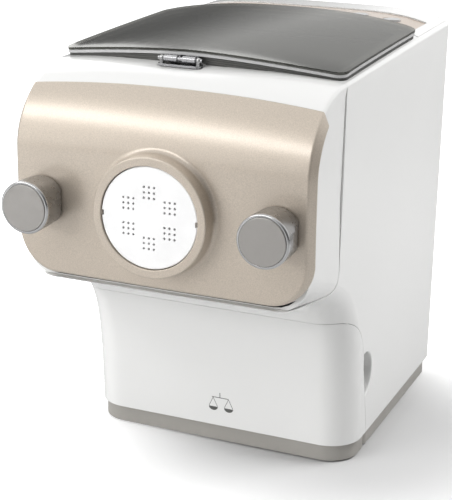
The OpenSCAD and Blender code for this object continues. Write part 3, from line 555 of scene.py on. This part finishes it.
materials = {
    "white_housing": gloss_plastic("white_housing", (0.80, 0.80, 0.79)),
    "grey_plinth": moulded("grey_plinth", (0.36, 0.345, 0.32), 0.45),
    "champagne_panel": satin_metallic("champagne_panel", (0.61, 0.530, 0.442), (0.49, 0.427, 0.355)),
    "disc_white": moulded("disc_white", (0.92, 0.92, 0.92), 0.35, grain=700, strength=0.05),
    "knob_chrome": metal("knob_chrome", (0.50, 0.50, 0.50), 0.12),
    "knob_satin": metal("knob_satin", (0.42, 0.404, 0.386), 0.34),
    # knob_side is knob_satin made darker: painted shade for the knobs' sides.
    "knob_side": metal("knob_side", (0.36, 0.352, 0.345), 0.30),
    "brass_insert": metal("brass_insert", (0.70, 0.50, 0.22), 0.3),
    "lid_smoke": smoke_lid("lid_smoke"),
    "lid_silver": moulded("lid_silver", (0.50, 0.50, 0.50), 0.25, edge=0.4),
    "steel": metal("steel", (0.45, 0.45, 0.46), 0.25),
    "frame_steel": metal("frame_steel", (0.35, 0.36, 0.37), 0.42),
    "chamber_plastic": moulded("chamber_plastic", (0.33, 0.34, 0.34), 0.4),
    "rubber_dark": moulded("rubber_dark", (0.03, 0.03, 0.03), 0.7, grain=500, strength=0.2),
    "gasket_grey": moulded("gasket_grey", (0.09, 0.09, 0.085), 0.55, grain=600, strength=0.15),
    "tube_metal": metal("tube_metal", (0.60, 0.60, 0.60), 0.28, (1, 12, 1)),
    "gear_plastic": moulded("gear_plastic", (0.65, 0.63, 0.56), 0.45),
    "gearcase_grey": metal("gearcase_grey", (0.38, 0.39, 0.40), 0.5),
    "motor_steel": metal("motor_steel", (0.22, 0.24, 0.27), 0.4),
    "copper_rotor": metal("copper_rotor", (0.60, 0.28, 0.14), 0.35, (1, 20, 1)),
    "black_plastic": moulded("black_plastic", (0.012, 0.012, 0.012), 0.45),
    "board_green": moulded("board_green", (0.01, 0.10, 0.045), 0.35),
    "deck_panel": satin_metallic("deck_panel", (0.56, 0.45, 0.36), (0.50, 0.40, 0.32)),
    "display_black": gloss_plastic("display_black", (0.01, 0.01, 0.012)),
    "button_grey": moulded("button_grey", (0.50, 0.50, 0.50), 0.35),
    "symbol_print": moulded("symbol_print", (0.11, 0.11, 0.105), 0.5),
    "drawer_white": moulded("drawer_white", (0.74, 0.74, 0.73), 0.4),
}
for part in record["subparts"]:
    node = frame["nodes"][part["node"]]
    node.data.materials.clear()
    node.data.materials.append(materials[part["material_slot"]])


# ---- Outer form of the housing ----
def edge_drop(x, inset, r):
    """How far a rounded side edge of radius r lies behind the flat surface at x."""
    inner = r - inset
    u = min(inner, max(0, abs(x) - (half_w - r)))
    return r - math.sqrt(max(0, inner * inner - u * u))


def front_point(z, drop, floor_z):
    """A point of the lower front, moved inwards square to the surface."""
    slope = front_slope(z)
    n = math.hypot(1, slope)
    return front_d(z) + drop / n, max(floor_z, z - drop * slope / n)


def form_section(x, inset, face_inset, floor_z, fine):
    """The side view outline of the housing at x."""
    drop = edge_drop(x, inset, edge_r)
    crease = 0 if inset else edge_drop(x, 0, crease_r)
    low = steps(plinth_top, neck_low, 8 * fine)[:-1]
    neck = steps(neck_low, neck_z, 18 * fine)
    points = [(front_d(plinth_top) + drop, floor_z - 0.01)]
    points += [front_point(z, drop, floor_z) for z in low + neck]
    start = points[-1][1]
    points += [(face_d(x, z) + face_inset + crease, z)
               for z in (start + (roll_z - start) * (i + 0.5) / (8 * fine) for i in range(8 * fine))]
    points += [roll(x, math.radians(a), face_inset, crease) for a in steps(0, 90, 18 * fine)]
    points += [(d, top_z(x, d) - inset - crease) for d in steps(roll_d + 10, rear_d - 20, 10 * fine)]
    points += [(rear_d - inset, top_z(x, rear_d) - inset - crease), (rear_d - inset, floor_z)]
    return points


def form_places(inset, fine):
    """Where across the machine its sections are taken, closest at the rounded edges."""
    flat = half_w - edge_r
    places = steps(0, flat, 6 * fine)
    places += [flat + (edge_r - inset) * math.sin(math.radians(a)) for a in steps(0, 90, 6 * fine)[1:]]
    if not inset:
        places += [half_w - crease_r + crease_r * math.sin(math.radians(a)) for a in (0, 25, 45, 65)]
    places = sorted(places)
    return [-x for x in reversed(places[1:])] + places


def side_x(x, d, tapered):
    """The head narrows a little towards its face."""
    if not tapered:
        return x
    share = min(1, max(0, (seam_d - d) / (seam_d - head_taper_d)))
    return x * (1 - share * (half_w - head_half) / half_w)


def form(inset=0, face_inset=0, floor_z=plinth_top, tapered=False, fine=2):
    """The whole outer form of the housing, or the room inside its walls."""
    sections = []
    for x in form_places(inset, fine):
        outline = form_section(x, inset, face_inset, floor_z, fine)
        sections.append([(side_x(x, d, tapered), panel_y + d, z) for d, z in outline])
    return loft("form", sections)


def room_inside():
    """The room inside walls of the same thickness all round."""
    return form(wall, wall, room_z, False, 1)


def drawer_outline(g):
    """Side view of the drawer front, grown by a gap."""
    front = 20
    low = plinth_top - 20
    back = drawer_back_d + g
    return ([(front, low), (back, low), (back, plinth_top)]
            + arc(drawer_arc_d, drawer_z - drawer_arc_r, drawer_arc_r + g, 0, 90, 24)
            + [(front, drawer_z + g)])


def head_outline(g):
    """Side view of the head in front of its seam, grown by a gap."""
    return ([(ahead, above), (ahead, head_z - g)]
            + arc(seam_d - head_corner, head_z + head_corner, head_corner + g, -90, 0, 12)
            + [(seam_d + g, above)])


def panel_side(g):
    """Side view of everything in front of the panel's top edge."""
    low = panel_z - 25.5
    lean = 9
    top = panel_top_z + 49
    back = panel_top_d - 2 + g
    return [(ahead, low), (back, low), (back, panel_top_z - 11), (panel_top_d + g, panel_top_z),
            (panel_top_d + lean + g, top), (ahead, top)]


def panel_outline(inset):
    """Front view of the panel, moved inwards and open at the top."""
    r = panel_corner - inset
    w = panel_half - inset
    z = panel_z + inset + r
    return [(w, above), (-w, above)] + arc(-w + r, z, r, 180, 270, 30) + arc(w - r, z, r, 270, 360, 30)


def face_line(x, insets, rows):
    """The profile of the face at x: rows are heights up to the roll and angles beyond it."""
    points = []
    for (kind, value), inset in zip(rows, insets):
        if kind == "z":
            points.append((face_d(x, value) + inset, value))
        else:
            points.append(roll(x, value, inset))
    return points


top_angle = math.radians(60)
face_low = panel_z - 8
face_places = steps(-panel_half - 2, panel_half + 2, 24)
coarse_rows = ([("z", z) for z in steps(face_low, roll_z, 6)[:-1]]
               + [("a", a) for a in steps(0, top_angle, 12)])


def face_solid(front, back):
    """Everything between the face line at two insets."""
    sections = []
    for x in face_places:
        near = face_line(x, [front] * len(coarse_rows), coarse_rows)
        far = list(reversed(face_line(x, [back] * len(coarse_rows), coarse_rows)))
        sections.append([(x, panel_y + d, z) for d, z in near + far])
    return loft("tool", sections)


def brow_core(inset):
    """Everything behind the whole face and brow, moved inwards."""
    rows = coarse_rows + [("a", a) for a in steps(top_angle, math.pi / 2, 6)[1:]]
    back = 75
    sections = []
    for x in face_places:
        near = face_line(x, [inset] * len(rows), rows)
        sections.append([(x, panel_y + d, z) for d, z in near + [(back, above), (back, face_low)]])
    return loft("tool", sections)


# ---- White housing ----
rim_t = panel_half - head_half - gap
hinge_low, hinge_high = extent("hinge_bracket")
pocket_x = (hinge_low.x - 1.5, hinge_high.x + 1.5)
pocket_d = (hinge_low.y - panel_y - 0.8, lid_front + 3.2)
pocket_z = 295.5
stud_hole_r = 5


def head_housing():
    """The head's shell, with a stepped seat for the front panel and holes for the tube and studs."""
    shell = cut(form(tapered=True), form(wall, wall + panel_depth + gap, room_z, True, 1))
    shell = keep(shell, side_prism(head_outline(-seam_gap / 2)))
    room = keep(face_solid(-15, panel_depth + gap), side_prism(panel_side(gap)))
    core = keep(brow_core(panel_t + gap), front_prism(panel_outline(rim_t + 2 * gap), ahead, past_roll))
    shell = cut(shell, cut(room, core))
    shell = cut(shell, block(*pocket_x, *pocket_d, pocket_z, above))
    shell = cut(shell, rod(0, axis_z, tube_out + 3, ahead, seam_d))
    for s in (-1, 1):
        shell = cut(shell, rod(s * knob_x, knob_z, stud_hole_r, ahead, seam_d))
    return piece(shell, "head_housing_skin", "housing", "white_housing", ["head_housing"],
                 like=form(tapered=True))


def main_housing():
    """The body's shell, open over the chamber, under the deck, at the drawer and at the back."""
    shell = keep(form(), plan_prism(rounded(-half_w, half_w, ahead, rear_d, rear_r, 10), 0, above))
    shell = cut(shell, room_inside())
    mouth = 91
    mouth_d = (67, deck_d - 10)
    inner = half_w - wall
    below_top = 250
    below_deck = 260
    shell = cut(shell, block(-mouth, mouth, *mouth_d, below_top, above))
    shell = cut(shell, block(-inner, inner, deck_d - 1, rear_d + 5, below_deck, above))
    cup_floor = 1.6
    cup_wall = 2
    for s in (-1, 1):
        cup = rod_x(s * (half_w - grip_depth - cup_floor), s * (half_w - 0.5), grip_r + cup_wall)
        shell = add(shell, cup)
    for s in (-1, 1):
        shell = cut(shell, grip_bowl(s))
    shell = cut(shell, side_prism(drawer_outline(gap)))
    shell = cut(shell, side_prism(head_outline(seam_gap / 2)))
    shell = cut(shell, block(-inner + 0.2, inner - 0.2, rear_d - 12, rear_d + 5, 0, above))
    return piece(shell, "main_housing_skin", "housing", "white_housing", ["main_housing"], like=form())


def rod_x(x0, x1, r):
    """A round bar across the machine at the grip."""
    count = 64
    circle = arc(grip_d, grip_z, r, 0, 360 - 360 / count, count - 1)
    return side_prism(circle, min(x0, x1), max(x0, x1))


def grip_bowl(s):
    """The finger recess: a round pocket whose floor and mouth are softly rounded."""
    lip = 1.2
    round_r = 4
    profile = [(grip_r + lip, 1.0), (grip_r + lip, 0.0)]
    profile += [(grip_r + lip - lip * math.sin(a), -lip + lip * math.cos(a))
                for a in steps(0, math.pi / 2, 5)][1:]
    profile += [(grip_r - round_r + round_r * math.cos(a), -grip_depth + round_r - round_r * math.sin(a))
                for a in steps(0, math.pi / 2, 8)]
    profile += [(centre, -grip_depth), (centre, 1.0)]
    count = 64
    points = []
    for i in range(count):
        a = math.tau * i / count * s
        for r, h in profile:
            y = panel_y + grip_d + r * math.cos(a)
            points.append((s * (half_w + h), y, grip_z + r * math.sin(a)))
    return new_object("tool", points, ring_faces(count, len(profile)))


pad_low, pad_high = extent("control_panel")


def top_deck():
    """The cover behind the lid, with an opening for the control panel."""
    inner = half_w - wall - gap
    shell = keep(form(), block(-inner, inner, deck_d + 0.2, rear_d + 1, 288, above))
    shell = cut(shell, room_inside())
    shell = cut(shell, block(pad_low.x - gap, pad_high.x + gap, pad_low.y - panel_y - gap,
                             pad_high.y - panel_y + gap, 280, above))
    return piece(shell, "top_deck_skin", "housing", "white_housing", ["top_deck"], like=form())


def drawer_front():
    """The drawer's part of the outer form."""
    shell = cut(form(), room_inside())
    shell = keep(shell, side_prism(drawer_outline(0)))
    return piece(shell, "drawer_front_skin", "drawer", "white_housing", ["drawer_front"], like=form())


head_housing()
main_housing()
top_deck()
drawer_front()


# ---- Front panel ----
# The sloped rim: how wide and deep it is below, and how much more at the sides.
rim_width = 1.3
rim_width_side = 2.6
rim_depth = 1.1
rim_depth_side = 4.4
rim_blend = 0.16


def rim_inset(x, z):
    """How far the panel's edge slopes back at a point of its front view."""
    w = panel_half
    dx = abs(x) - (w - panel_corner)
    dz = panel_z + panel_corner - z
    if dx > 0 and dz > 0:
        reach = math.hypot(dx, dz)
        inside = panel_corner - reach
        sideways = dx / reach
    elif w - abs(x) < z - panel_z:
        inside = w - abs(x)
        sideways = 1
    else:
        inside = z - panel_z
        sideways = 0
    band = rim_width + rim_width_side * sideways ** 2
    depth = rim_depth + rim_depth_side * sideways ** 2
    t = (band - inside) / band
    if t < -rim_blend:
        return 0
    if t < rim_blend:
        return depth * (t + rim_blend) ** 2 / (4 * rim_blend)
    return depth * t


def front_panel():
    """The metallic panel: a bowed and rolled face with a sloped rim, hollow behind."""
    low = panel_z - 1
    rows = [("z", z) for z in steps(low, panel_z + panel_corner, 40)]
    rows += [("z", z) for z in steps(panel_z + panel_corner, roll_z, 16)[1:-1]]
    rows += [("a", a) for a in steps(0, top_angle, 30)]
    flat = panel_half - panel_corner
    places = steps(0, flat, 14) + steps(flat, panel_half, 42)[1:]
    places = [-x for x in reversed(places[1:])] + places
    sections = []
    for x in places:
        heights = [v if kind == "z" else roll(x, v, 0)[1] for kind, v in rows]
        insets = [rim_inset(x, z) for z in heights]
        near = face_line(x, insets, rows)
        far = list(reversed(face_line(x, [panel_depth] * len(coarse_rows), coarse_rows)))
        far[-1] = (far[-1][0], low)
        sections.append([(x, panel_y + d, z) for d, z in near + far])
    whole = loft("panel", sections)
    shell = keep(loft("panel", sections), front_prism(panel_outline(0.01), ahead, past_roll))
    shell = keep(shell, side_prism(panel_side(0)))
    hollow = keep(brow_core(panel_t), front_prism(panel_outline(rim_t), ahead, past_roll))
    shell = cut(shell, hollow, rod(0, axis_z, tube_bore, ahead, 30))
    for s in (-1, 1):
        shell = cut(shell, rod(s * knob_x, knob_z, stud_hole_r - 0.5, ahead, 20))
    return piece(shell, "front_panel_face", "panel", "champagne_panel", ["front_panel"], like=whole)


def panel_boss():
    """The ring round the disc: a small fillet on the bowed face, a steep wall and a flat rim."""
    foot = 3.6
    lip = 1.1
    top = -boss_reach
    wall_points = []
    for a in steps(0, math.pi / 2, 10):
        wall_points.append((boss_r + foot * (1 - math.sin(a)) + 0.6, foot * (1 - math.cos(a))))
    rim_points = [(boss_r - lip + lip * math.cos(a), top + lip - lip * math.sin(a))
                  for a in steps(0, math.pi / 2, 6)]
    inner = disc_r + 0.45
    bevel = 0.5
    rim_points += [(inner + bevel - bevel * math.sin(a), top + bevel - bevel * math.cos(a))
                   for a in steps(0, math.pi / 2, 4)]
    rim_points += [(inner, disc_seat_d), (tube_bore, disc_seat_d), (tube_bore, -1.5)]
    count = 160
    m = len(wall_points) + len(rim_points) + 1
    points = []
    for i in range(count):
        a = math.tau * i / count
        ring = []
        for r, rise in wall_points:
            x = r * math.cos(a)
            z = axis_z + r * math.sin(a)
            d = face_d(x, z) if z < roll_z else roll_face_d(x, z)
            ring.append((r, d + 0.05 - rise))
        ring += rim_points
        ring.append((wall_points[0][0], ring[0][1] + 2.2))
        points += [(r * math.cos(a), panel_y + d, axis_z + r * math.sin(a)) for r, d in ring]
    boss = new_object("boss", points, ring_faces(count, m))
    return piece(boss, "panel_boss", "panel", "champagne_panel")


def roll_face_d(x, z):
    """Depth of the rolled face at a height, found by halving the angle."""
    low = 0.0
    high = top_angle
    for _ in range(30):
        middle = (low + high) / 2
        if roll(x, middle, 0)[1] < z:
            low = middle
        else:
            high = middle
    return roll(x, low, 0)[0]


def shaping_disc():
    """The disc: six groups of nine holes, and a notch on each side."""
    face = -13.7
    back = -5.0
    lip = 0.9
    profile = [(centre, face), (disc_r - lip, face)]
    profile += [(disc_r - lip + lip * math.sin(a), face + lip - lip * math.cos(a))
                for a in steps(0, math.pi / 2, 5)][1:]
    profile += [(disc_r, disc_seat_d), (disc_r, back), (centre, back)]
    disc = turned("disc", profile, 0, axis_z, 128)
    group_r = 17
    pitch = 3.6
    hole_r = 0.85
    hole_d = (-20, -6)
    for a in range(30, 390, 60):
        cx = group_r * math.cos(math.radians(a))
        cz = axis_z + group_r * math.sin(math.radians(a))
        for i in (-1, 0, 1):
            for j in (-1, 0, 1):
                disc = cut(disc, rod(cx + i * pitch, cz + j * pitch, hole_r, *hole_d, 20))
    notch_x = 1.6
    notch_z = 1.8
    notch_d = (-20, -10.5)
    for s in (-1, 1):
        x = s * disc_r
        notch = block(x - notch_x, x + notch_x, *notch_d, axis_z - notch_z, axis_z + notch_z)
        disc = cut(disc, notch)
    return piece(disc, "shaping_disc_face", "panel", "disc_white", ["shaping_disc"])


front_panel()
panel_boss()
shaping_disc()


# ---- Printed scales symbol ----
def symbol():
    """A plain balance, printed on the drawer: a post, a beam and two hanging pans."""
    line = 0.55
    string = 0.35
    lifts = (-0.05, 0.06)
    post_x = 2.7
    post_top = 42
    beam_z = 37.9
    beam_ends = (-3.9, 9.6)
    pan_x = (-2.9, 9.6)
    pan_z = 29.9
    pan_r = 3.7
    pan_flat = 0.85
    string_reach = 3.4
    string_end = 0.3

    def skin(x, z, lift):
        slope = front_slope(z)
        n = math.hypot(1, slope)
        return x, panel_y + front_d(z) - lift / n, z + lift * slope / n

    def stroke(x0, z0, x1, z1, width=line):
        run = math.hypot(x1 - x0, z1 - z0)
        ux = -(z1 - z0) / run * width / 2
        uz = (x1 - x0) / run * width / 2
        corners = [(x0 + ux, z0 + uz), (x1 + ux, z1 + uz), (x1 - ux, z1 - uz), (x0 - ux, z0 - uz)]
        return [[skin(x, z, lift) for x, z in corners] for lift in lifts]

    def bowl(x):
        outline = [(x - pan_r, pan_z)] + arc(x, pan_z, pan_r, 180, 360, 12)[1:]
        outline = [(px, pan_z + (pz - pan_z) * pan_flat) for px, pz in outline]
        return [[skin(px, pz, lift) for px, pz in outline] for lift in lifts]

    shapes = [stroke(post_x, post_top, post_x, beam_z),
              stroke(beam_ends[0], beam_z, beam_ends[1], beam_z)]
    for x in pan_x:
        for side in (-1, 1):
            shapes.append(stroke(x, beam_z - string_end, x + side * string_reach,
                                 pan_z + string_end, string))
        shapes.append(bowl(x))
    points = []
    faces = []
    for low, high in shapes:
        base = len(points)
        n = len(low)
        points += low + high
        faces.append(tuple(base + n + i for i in range(n)))
        faces.append(tuple(base + i for i in range(n - 1, -1, -1)))
        for i in range(n):
            j = (i + 1) % n
            faces.append((base + i, base + j, base + n + j, base + n + i))
    piece(new_object("symbol", points, faces), "scales_symbol", "drawer", "button_grey",
          look="symbol_print")


symbol()


# ---- Knobs ----
knob_r = 17.8
knob_front = -knob_reach + 0.8
knob_rear = -2.9
ring_inner = 15.8
cap_r = 15.7


def ring_profile():
    """The bright bevelled ring round a knob's face."""
    bevel = 1.5
    back = knob_front + 1.2
    profile = [(ring_inner, back), (ring_inner, knob_front - 0.1), (ring_inner + 0.2, knob_front - 0.3)]
    profile += [(knob_r - bevel + bevel * math.sin(a), back - bevel * math.cos(a))
                for a in steps(math.radians(10), math.pi / 2, 10)]
    return profile + [(knob_r, knob_front + 1.8), (knob_r - 1.2, knob_front + 1.8)]


def knob(s, side):
    """A satin body with two flats to grip, a bright ring and a satin face; the body wears knob_side, a
    darker copy of the satin metal that paints shade on the knob's side.
    """
    x = s * knob_x
    profile = [(centre, knob_front + 0.8), (16.4, knob_front + 0.8), (17.4, knob_front + 1.8)]
    profile += [(knob_r - 0.1, knob_front + 5), (knob_r - 0.2, knob_front + 12),
                (knob_r - 0.5, knob_front + 19), (knob_r - 1.0, knob_rear - 0.8),
                (knob_r - 1.8, knob_rear), (centre, knob_rear)]
    body = turned("knob", profile, x, knob_z, 128)
    for k in (-1, 1):
        body = cut(body, grip_flat(x, k))
    # Painted shade: the body takes knob_side, the darker copy of its satin metal.
    piece(body, side + "_knob_body", "knob_" + side, "knob_satin", [side + "_knob"], look="knob_side")
    ring = turned("ring", ring_profile(), x, knob_z, 128)
    piece(ring, side + "_knob_ring", "knob_" + side, "knob_chrome")
    front = -knob_reach
    lip = 0.5
    profile = [(centre, front), (cap_r - lip, front)]
    profile += [(cap_r - lip + lip * math.sin(a), front + lip - lip * math.cos(a))
                for a in steps(0, math.pi / 2, 4)][1:]
    back = knob_front + 0.7
    profile += [(cap_r, back), (centre, back)]
    cap = turned("cap", profile, x, knob_z, 128)
    piece(cap, side + "_knob_face", "knob_" + side, "knob_satin", [side + "_knob_cap"])


def grip_flat(x, k):
    """A slanted flat that the fingers hold, cut from the side of a knob."""
    lean = math.tan(math.radians(12))
    reach = 30
    near = x + k * (knob_r + 0.3)
    far = near - k * lean * reach
    wide = x + k * 40
    front = knob_front + 5
    points = [(near, front), (far, front + reach), (wide, front + reach), (wide, front)]
    if k < 0:
        points.reverse()
    return plan_prism(points, knob_z - reach, knob_z + reach)


knob(-1, "left")
knob(1, "right")


# ---- Lid and its seat ----
def lid_outline(inset):
    """Plan of the lid, moved inwards: a bowed front edge and four round corners."""
    fine = 24
    turn = math.degrees(lid_corner_a)
    w = lid_half - inset
    r = lid_corner - inset / 2
    x1 = w - r + r * math.cos(lid_corner_a)

    def edge(x):
        return lid_front + inset + lid_bow * (x / lid_half) ** 2

    front_c = edge(x1) + r * math.sin(lid_corner_a)
    rear_c = lid_rear - inset - r
    return ([(x, edge(x)) for x in steps(-x1, x1, fine)]
            + arc(w - r, front_c, r, -turn, 0, 10)[1:]
            + arc(w - r, rear_c, r, 0, 90, 10)
            + arc(-w + r, rear_c, r, 90, 180, 10)
            + arc(-w + r, front_c, r, 180, 180 + turn, 10)[:-1])


def lid_layer(top_drop, bottom_drop, inset):
    """The layer between two depths under the lid's top, inside its outline."""
    fine = 36
    sections = []
    depths = steps(lid_front - 3, lid_rear + 3, fine)
    for x in steps(-lid_half - 2, lid_half + 2, fine):
        upper = [(x, panel_y + d, lid_top_z(x, d) - top_drop) for d in depths]
        lower = [(x, panel_y + d, lid_top_z(x, d) - bottom_drop) for d in reversed(depths)]
        sections.append(upper + lower)
    return keep(loft("layer", sections), lid_core(inset))


def lid_core(inset):
    """Everything inside the lid's outline, moved inwards."""
    return plan_prism(lid_outline(inset), 260, above)


def lid():
    """The clear shell over a silver band, with a groove between them."""
    glass = lid_layer(0, glass_t, 0)
    edge = glass.modifiers.new("edge", "BEVEL")
    edge.width = 0.45 * MM
    edge.segments = 2
    edge.angle_limit = math.radians(50)
    piece(glass, "lid_glass", "lid", "lid_smoke", ["lid_shell"])
    band_top = glass_t + groove_t
    band = cut(lid_layer(band_top, band_top + band_t, 0.3), lid_core(2.6))
    piece(band, "lid_rim_band", "lid", "lid_silver", ["lid_rim"])
    groove = cut(lid_layer(glass_t, band_top, 1.1), lid_core(2.4))
    piece(groove, "lid_rim_groove", "lid", "lid_silver", ["lid_skirt"])


def gasket():
    """The ribbed rubber seat between the housing and the lid."""
    seat = cut(lid_layer(4.5, 25, 1.0), lid_core(7.5), form())
    rib_gap = 0.7
    for low in (5.2, 6.7, 8.2):
        seat = cut(seat, cut(lid_layer(low, low + rib_gap, 0.0), lid_core(1.5)))
    front, back = pocket_d
    seat = cut(seat, block(*pocket_x, front - 3, back, 280, above))
    piece(seat, "chamber_gasket_ribs", "housing", "gasket_grey", ["chamber_gasket"])


lid()
gasket()


# ---- Hinge ----
def hinge():
    """A rounded plate with a lug at each end that carries the pin in a ball."""
    pin_d = 46.5
    pin_z = 300.8
    ball_r = 2.0
    end_a = 0.2
    lug_half = 1.1
    lug_in = 1.4
    plate_out = 0.8
    plate_d = (pin_d - 4.4, pin_d + 4.8)
    plate_z = (296.2, 297.6)
    left = hinge_low.x
    right = hinge_high.x
    plate = plan_prism(rounded(left - plate_out, right + plate_out, *plate_d, 3.4), *plate_z)
    piece(plate, "hinge_plate", "housing", "steel", ["hinge_bracket"])
    for side, x in (("left", left + lug_in), ("right", right - lug_in)):
        profile = [(centre, -ball_r)]
        profile += [(ball_r * math.sin(a), -ball_r * math.cos(a))
                    for a in steps(end_a, math.pi - end_a, 14)]
        profile += [(centre, ball_r)]
        ball = turned("ball", [(r, pin_d + h) for r, h in profile], x, pin_z, 32)
        lug = block(x - lug_half, x + lug_half, pin_d - 1.4, pin_d + 1.6, 297, pin_z)
        piece(add(ball, lug), "hinge_lug_" + side, "housing", "knob_chrome")


hinge()


# ---- Light, floor and camera ----
def area_light(name, place, aim, size, power, turn=0.0, mirrored=True):
    """A soft box; one that isn't mirrored lights the object but shows in no reflection."""
    light = bpy.data.lights.new(name, "AREA")
    light.shape = "RECTANGLE"
    light.size = size[0]
    light.size_y = size[1]
    light.energy = power
    obj = bpy.data.objects.new(name, light)
    obj.location = place
    facing = (Vector(aim) - Vector(place)).to_track_quat("-Z", "Y")
    obj.rotation_euler = (facing @ Quaternion((0, 0, 1), turn)).to_euler()
    obj.visible_glossy = mirrored
    bpy.context.scene.collection.objects.link(obj)


def combine(tree, operation, first, second):
    """A maths node on two values."""
    node = tree.nodes.new("ShaderNodeMath")
    node.operation = operation
    tree.links.new(first, node.inputs[0])
    tree.links.new(second, node.inputs[1])
    return node.outputs["Value"]


def span(tree, source, low, high, start, end):
    """Maps a value from low..high smoothly onto start..end."""
    node = tree.nodes.new("ShaderNodeMapRange")
    node.interpolation_type = "SMOOTHSTEP"
    node.inputs["From Min"].default_value = low
    node.inputs["From Max"].default_value = high
    node.inputs["To Min"].default_value = start
    node.inputs["To Max"].default_value = end
    tree.links.new(source, node.inputs["Value"])
    return node.outputs["Result"]


def dark_side(tree, direction, start, end, level):
    """One over most of the room, falling to a level toward a direction."""
    place = tree.nodes.new("ShaderNodeTexCoord")
    toward = tree.nodes.new("ShaderNodeVectorMath")
    toward.operation = "DOT_PRODUCT"
    toward.inputs[1].default_value = direction
    tree.links.new(place.outputs["Generated"], toward.inputs[0])
    return span(tree, toward.outputs["Value"], start, end, 1.0, level)


def backdrop(strength, front_level, rear_level):
    """White where it is seen, softer as light, dimmer to the front right and low behind on the left."""
    front_right = (0.848, -0.530, 0.0)
    behind_left = (-0.465, 0.883, 0.06)
    world = bpy.data.worlds.new("studio")
    world.use_nodes = True
    bpy.context.scene.world = world
    tree = world.node_tree
    tree.nodes.clear()
    rays = tree.nodes.new("ShaderNodeLightPath")
    by_camera = rays.outputs["Is Camera Ray"]
    seen = combine(tree, "MAXIMUM", by_camera, rays.outputs["Is Glossy Ray"])
    seen = combine(tree, "MAXIMUM", seen, rays.outputs["Is Transmission Ray"])
    level = span(tree, seen, 0, 1, strength, 1.0)
    level = combine(tree, "MULTIPLY", level, dark_side(tree, front_right, 0.25, 0.95, front_level))
    level = combine(tree, "MULTIPLY", level, dark_side(tree, behind_left, 0.970, 0.998, rear_level))
    white = combine(tree, "MAXIMUM", level, by_camera)
    sky = tree.nodes.new("ShaderNodeBackground")
    sky.inputs["Color"].default_value = (1, 1, 1, 1)
    output = tree.nodes.new("ShaderNodeOutputWorld")
    tree.links.new(white, sky.inputs["Strength"])
    tree.links.new(sky.outputs["Background"], output.inputs["Surface"])


def floor():
    """A pale floor that glows white to the camera away from the machine and keeps its real contact
    shadow; the glow is left off near the machine, more on its right, which paints shade round the base.
    """
    size = 6000
    corners = [(-size, -size, 0), (size, -size, 0), (size, size, 0), (-size, size, 0)]
    plane = new_object("floor", corners, [(0, 1, 2, 3)])
    material = bpy.data.materials.new("floor_paper")
    material.use_nodes = True
    tree = material.node_tree
    bsdf = tree.nodes["Principled BSDF"]
    bsdf.inputs["Base Color"].default_value = (0.64, 0.64, 0.64, 1)
    bsdf.inputs["Roughness"].default_value = 0.9
    bsdf.inputs["Specular IOR Level"].default_value = 0.2
    place = tree.nodes.new("ShaderNodeTexCoord")
    distance = tree.nodes.new("ShaderNodeVectorMath")
    distance.operation = "DISTANCE"
    distance.inputs[1].default_value = (0.08, 0.02, 0)
    tree.links.new(place.outputs["Object"], distance.inputs[0])
    bsdf.inputs["Emission Color"].default_value = (1, 1, 1, 1)
    rays = tree.nodes.new("ShaderNodeLightPath")
    # Painted shade: the camera-only glow is off within 7 cm of a point right of the machine's centre and
    # full beyond 27 cm, so a darker patch round the base, deepest on the right, adds to the real shadow.
    glow_past_painted_shade = span(tree, distance.outputs["Value"], 0.07, 0.27, 0.0, 1.0)
    glow = combine(tree, "MULTIPLY", rays.outputs["Is Camera Ray"], glow_past_painted_shade)
    tree.links.new(glow, bsdf.inputs["Emission Strength"])
    plane.data.materials.append(material)


def camera():
    """The view that was fitted to the photograph, with its focal length in the photo's pixels."""
    azimuth = math.radians(22.95)
    elevation = math.radians(17.55)
    tilt = math.radians(1.11)
    aim = Vector((-0.0024, -0.0232, 0.1482))
    away = 1.0492
    photo_height = 500
    focal_length = 1421.9
    back = Vector((math.sin(azimuth) * math.cos(elevation), -math.cos(azimuth) * math.cos(elevation),
                   math.sin(elevation)))
    right = Vector((math.cos(azimuth), math.sin(azimuth), 0))
    up = back.cross(right)
    across = math.cos(tilt) * right + math.sin(tilt) * up
    upwards = math.cos(tilt) * up - math.sin(tilt) * right
    place = aim + back * away
    data = bpy.data.cameras.new("camera")
    data.sensor_width = 36
    data.lens = focal_length / photo_height * data.sensor_width
    obj = bpy.data.objects.new("camera", data)
    bpy.context.scene.collection.objects.link(obj)
    obj.matrix_world = Matrix((
        (across.x, upwards.x, back.x, place.x),
        (across.y, upwards.y, back.y, place.y),
        (across.z, upwards.z, back.z, place.z),
        (0, 0, 0, 1),
    ))
    bpy.context.scene.camera = obj


bpy.context.scene.view_settings.view_transform = "Standard"
backdrop(0.52, 0.15, 0.22)
floor()
camera()
area_light("key", (-0.68, -0.97, 1.22), (0, -0.05, 0.18), (1.8, 0.34), 6.5)
area_light("fill", (-0.9, -1.2, 0.45), (0, -0.1, 0.12), (0.9, 0.6), 12.7, mirrored=False)
area_light("side", (0.78, 0.3, 0.9), (0.1, 0, 0.26), (0.6, 0.6), 8.6, mirrored=False)
area_light("rear", (-0.89, 0.99, 1.076), (0, -0.09, 0.3), (1.04, 1.04), 4.8, math.radians(45))
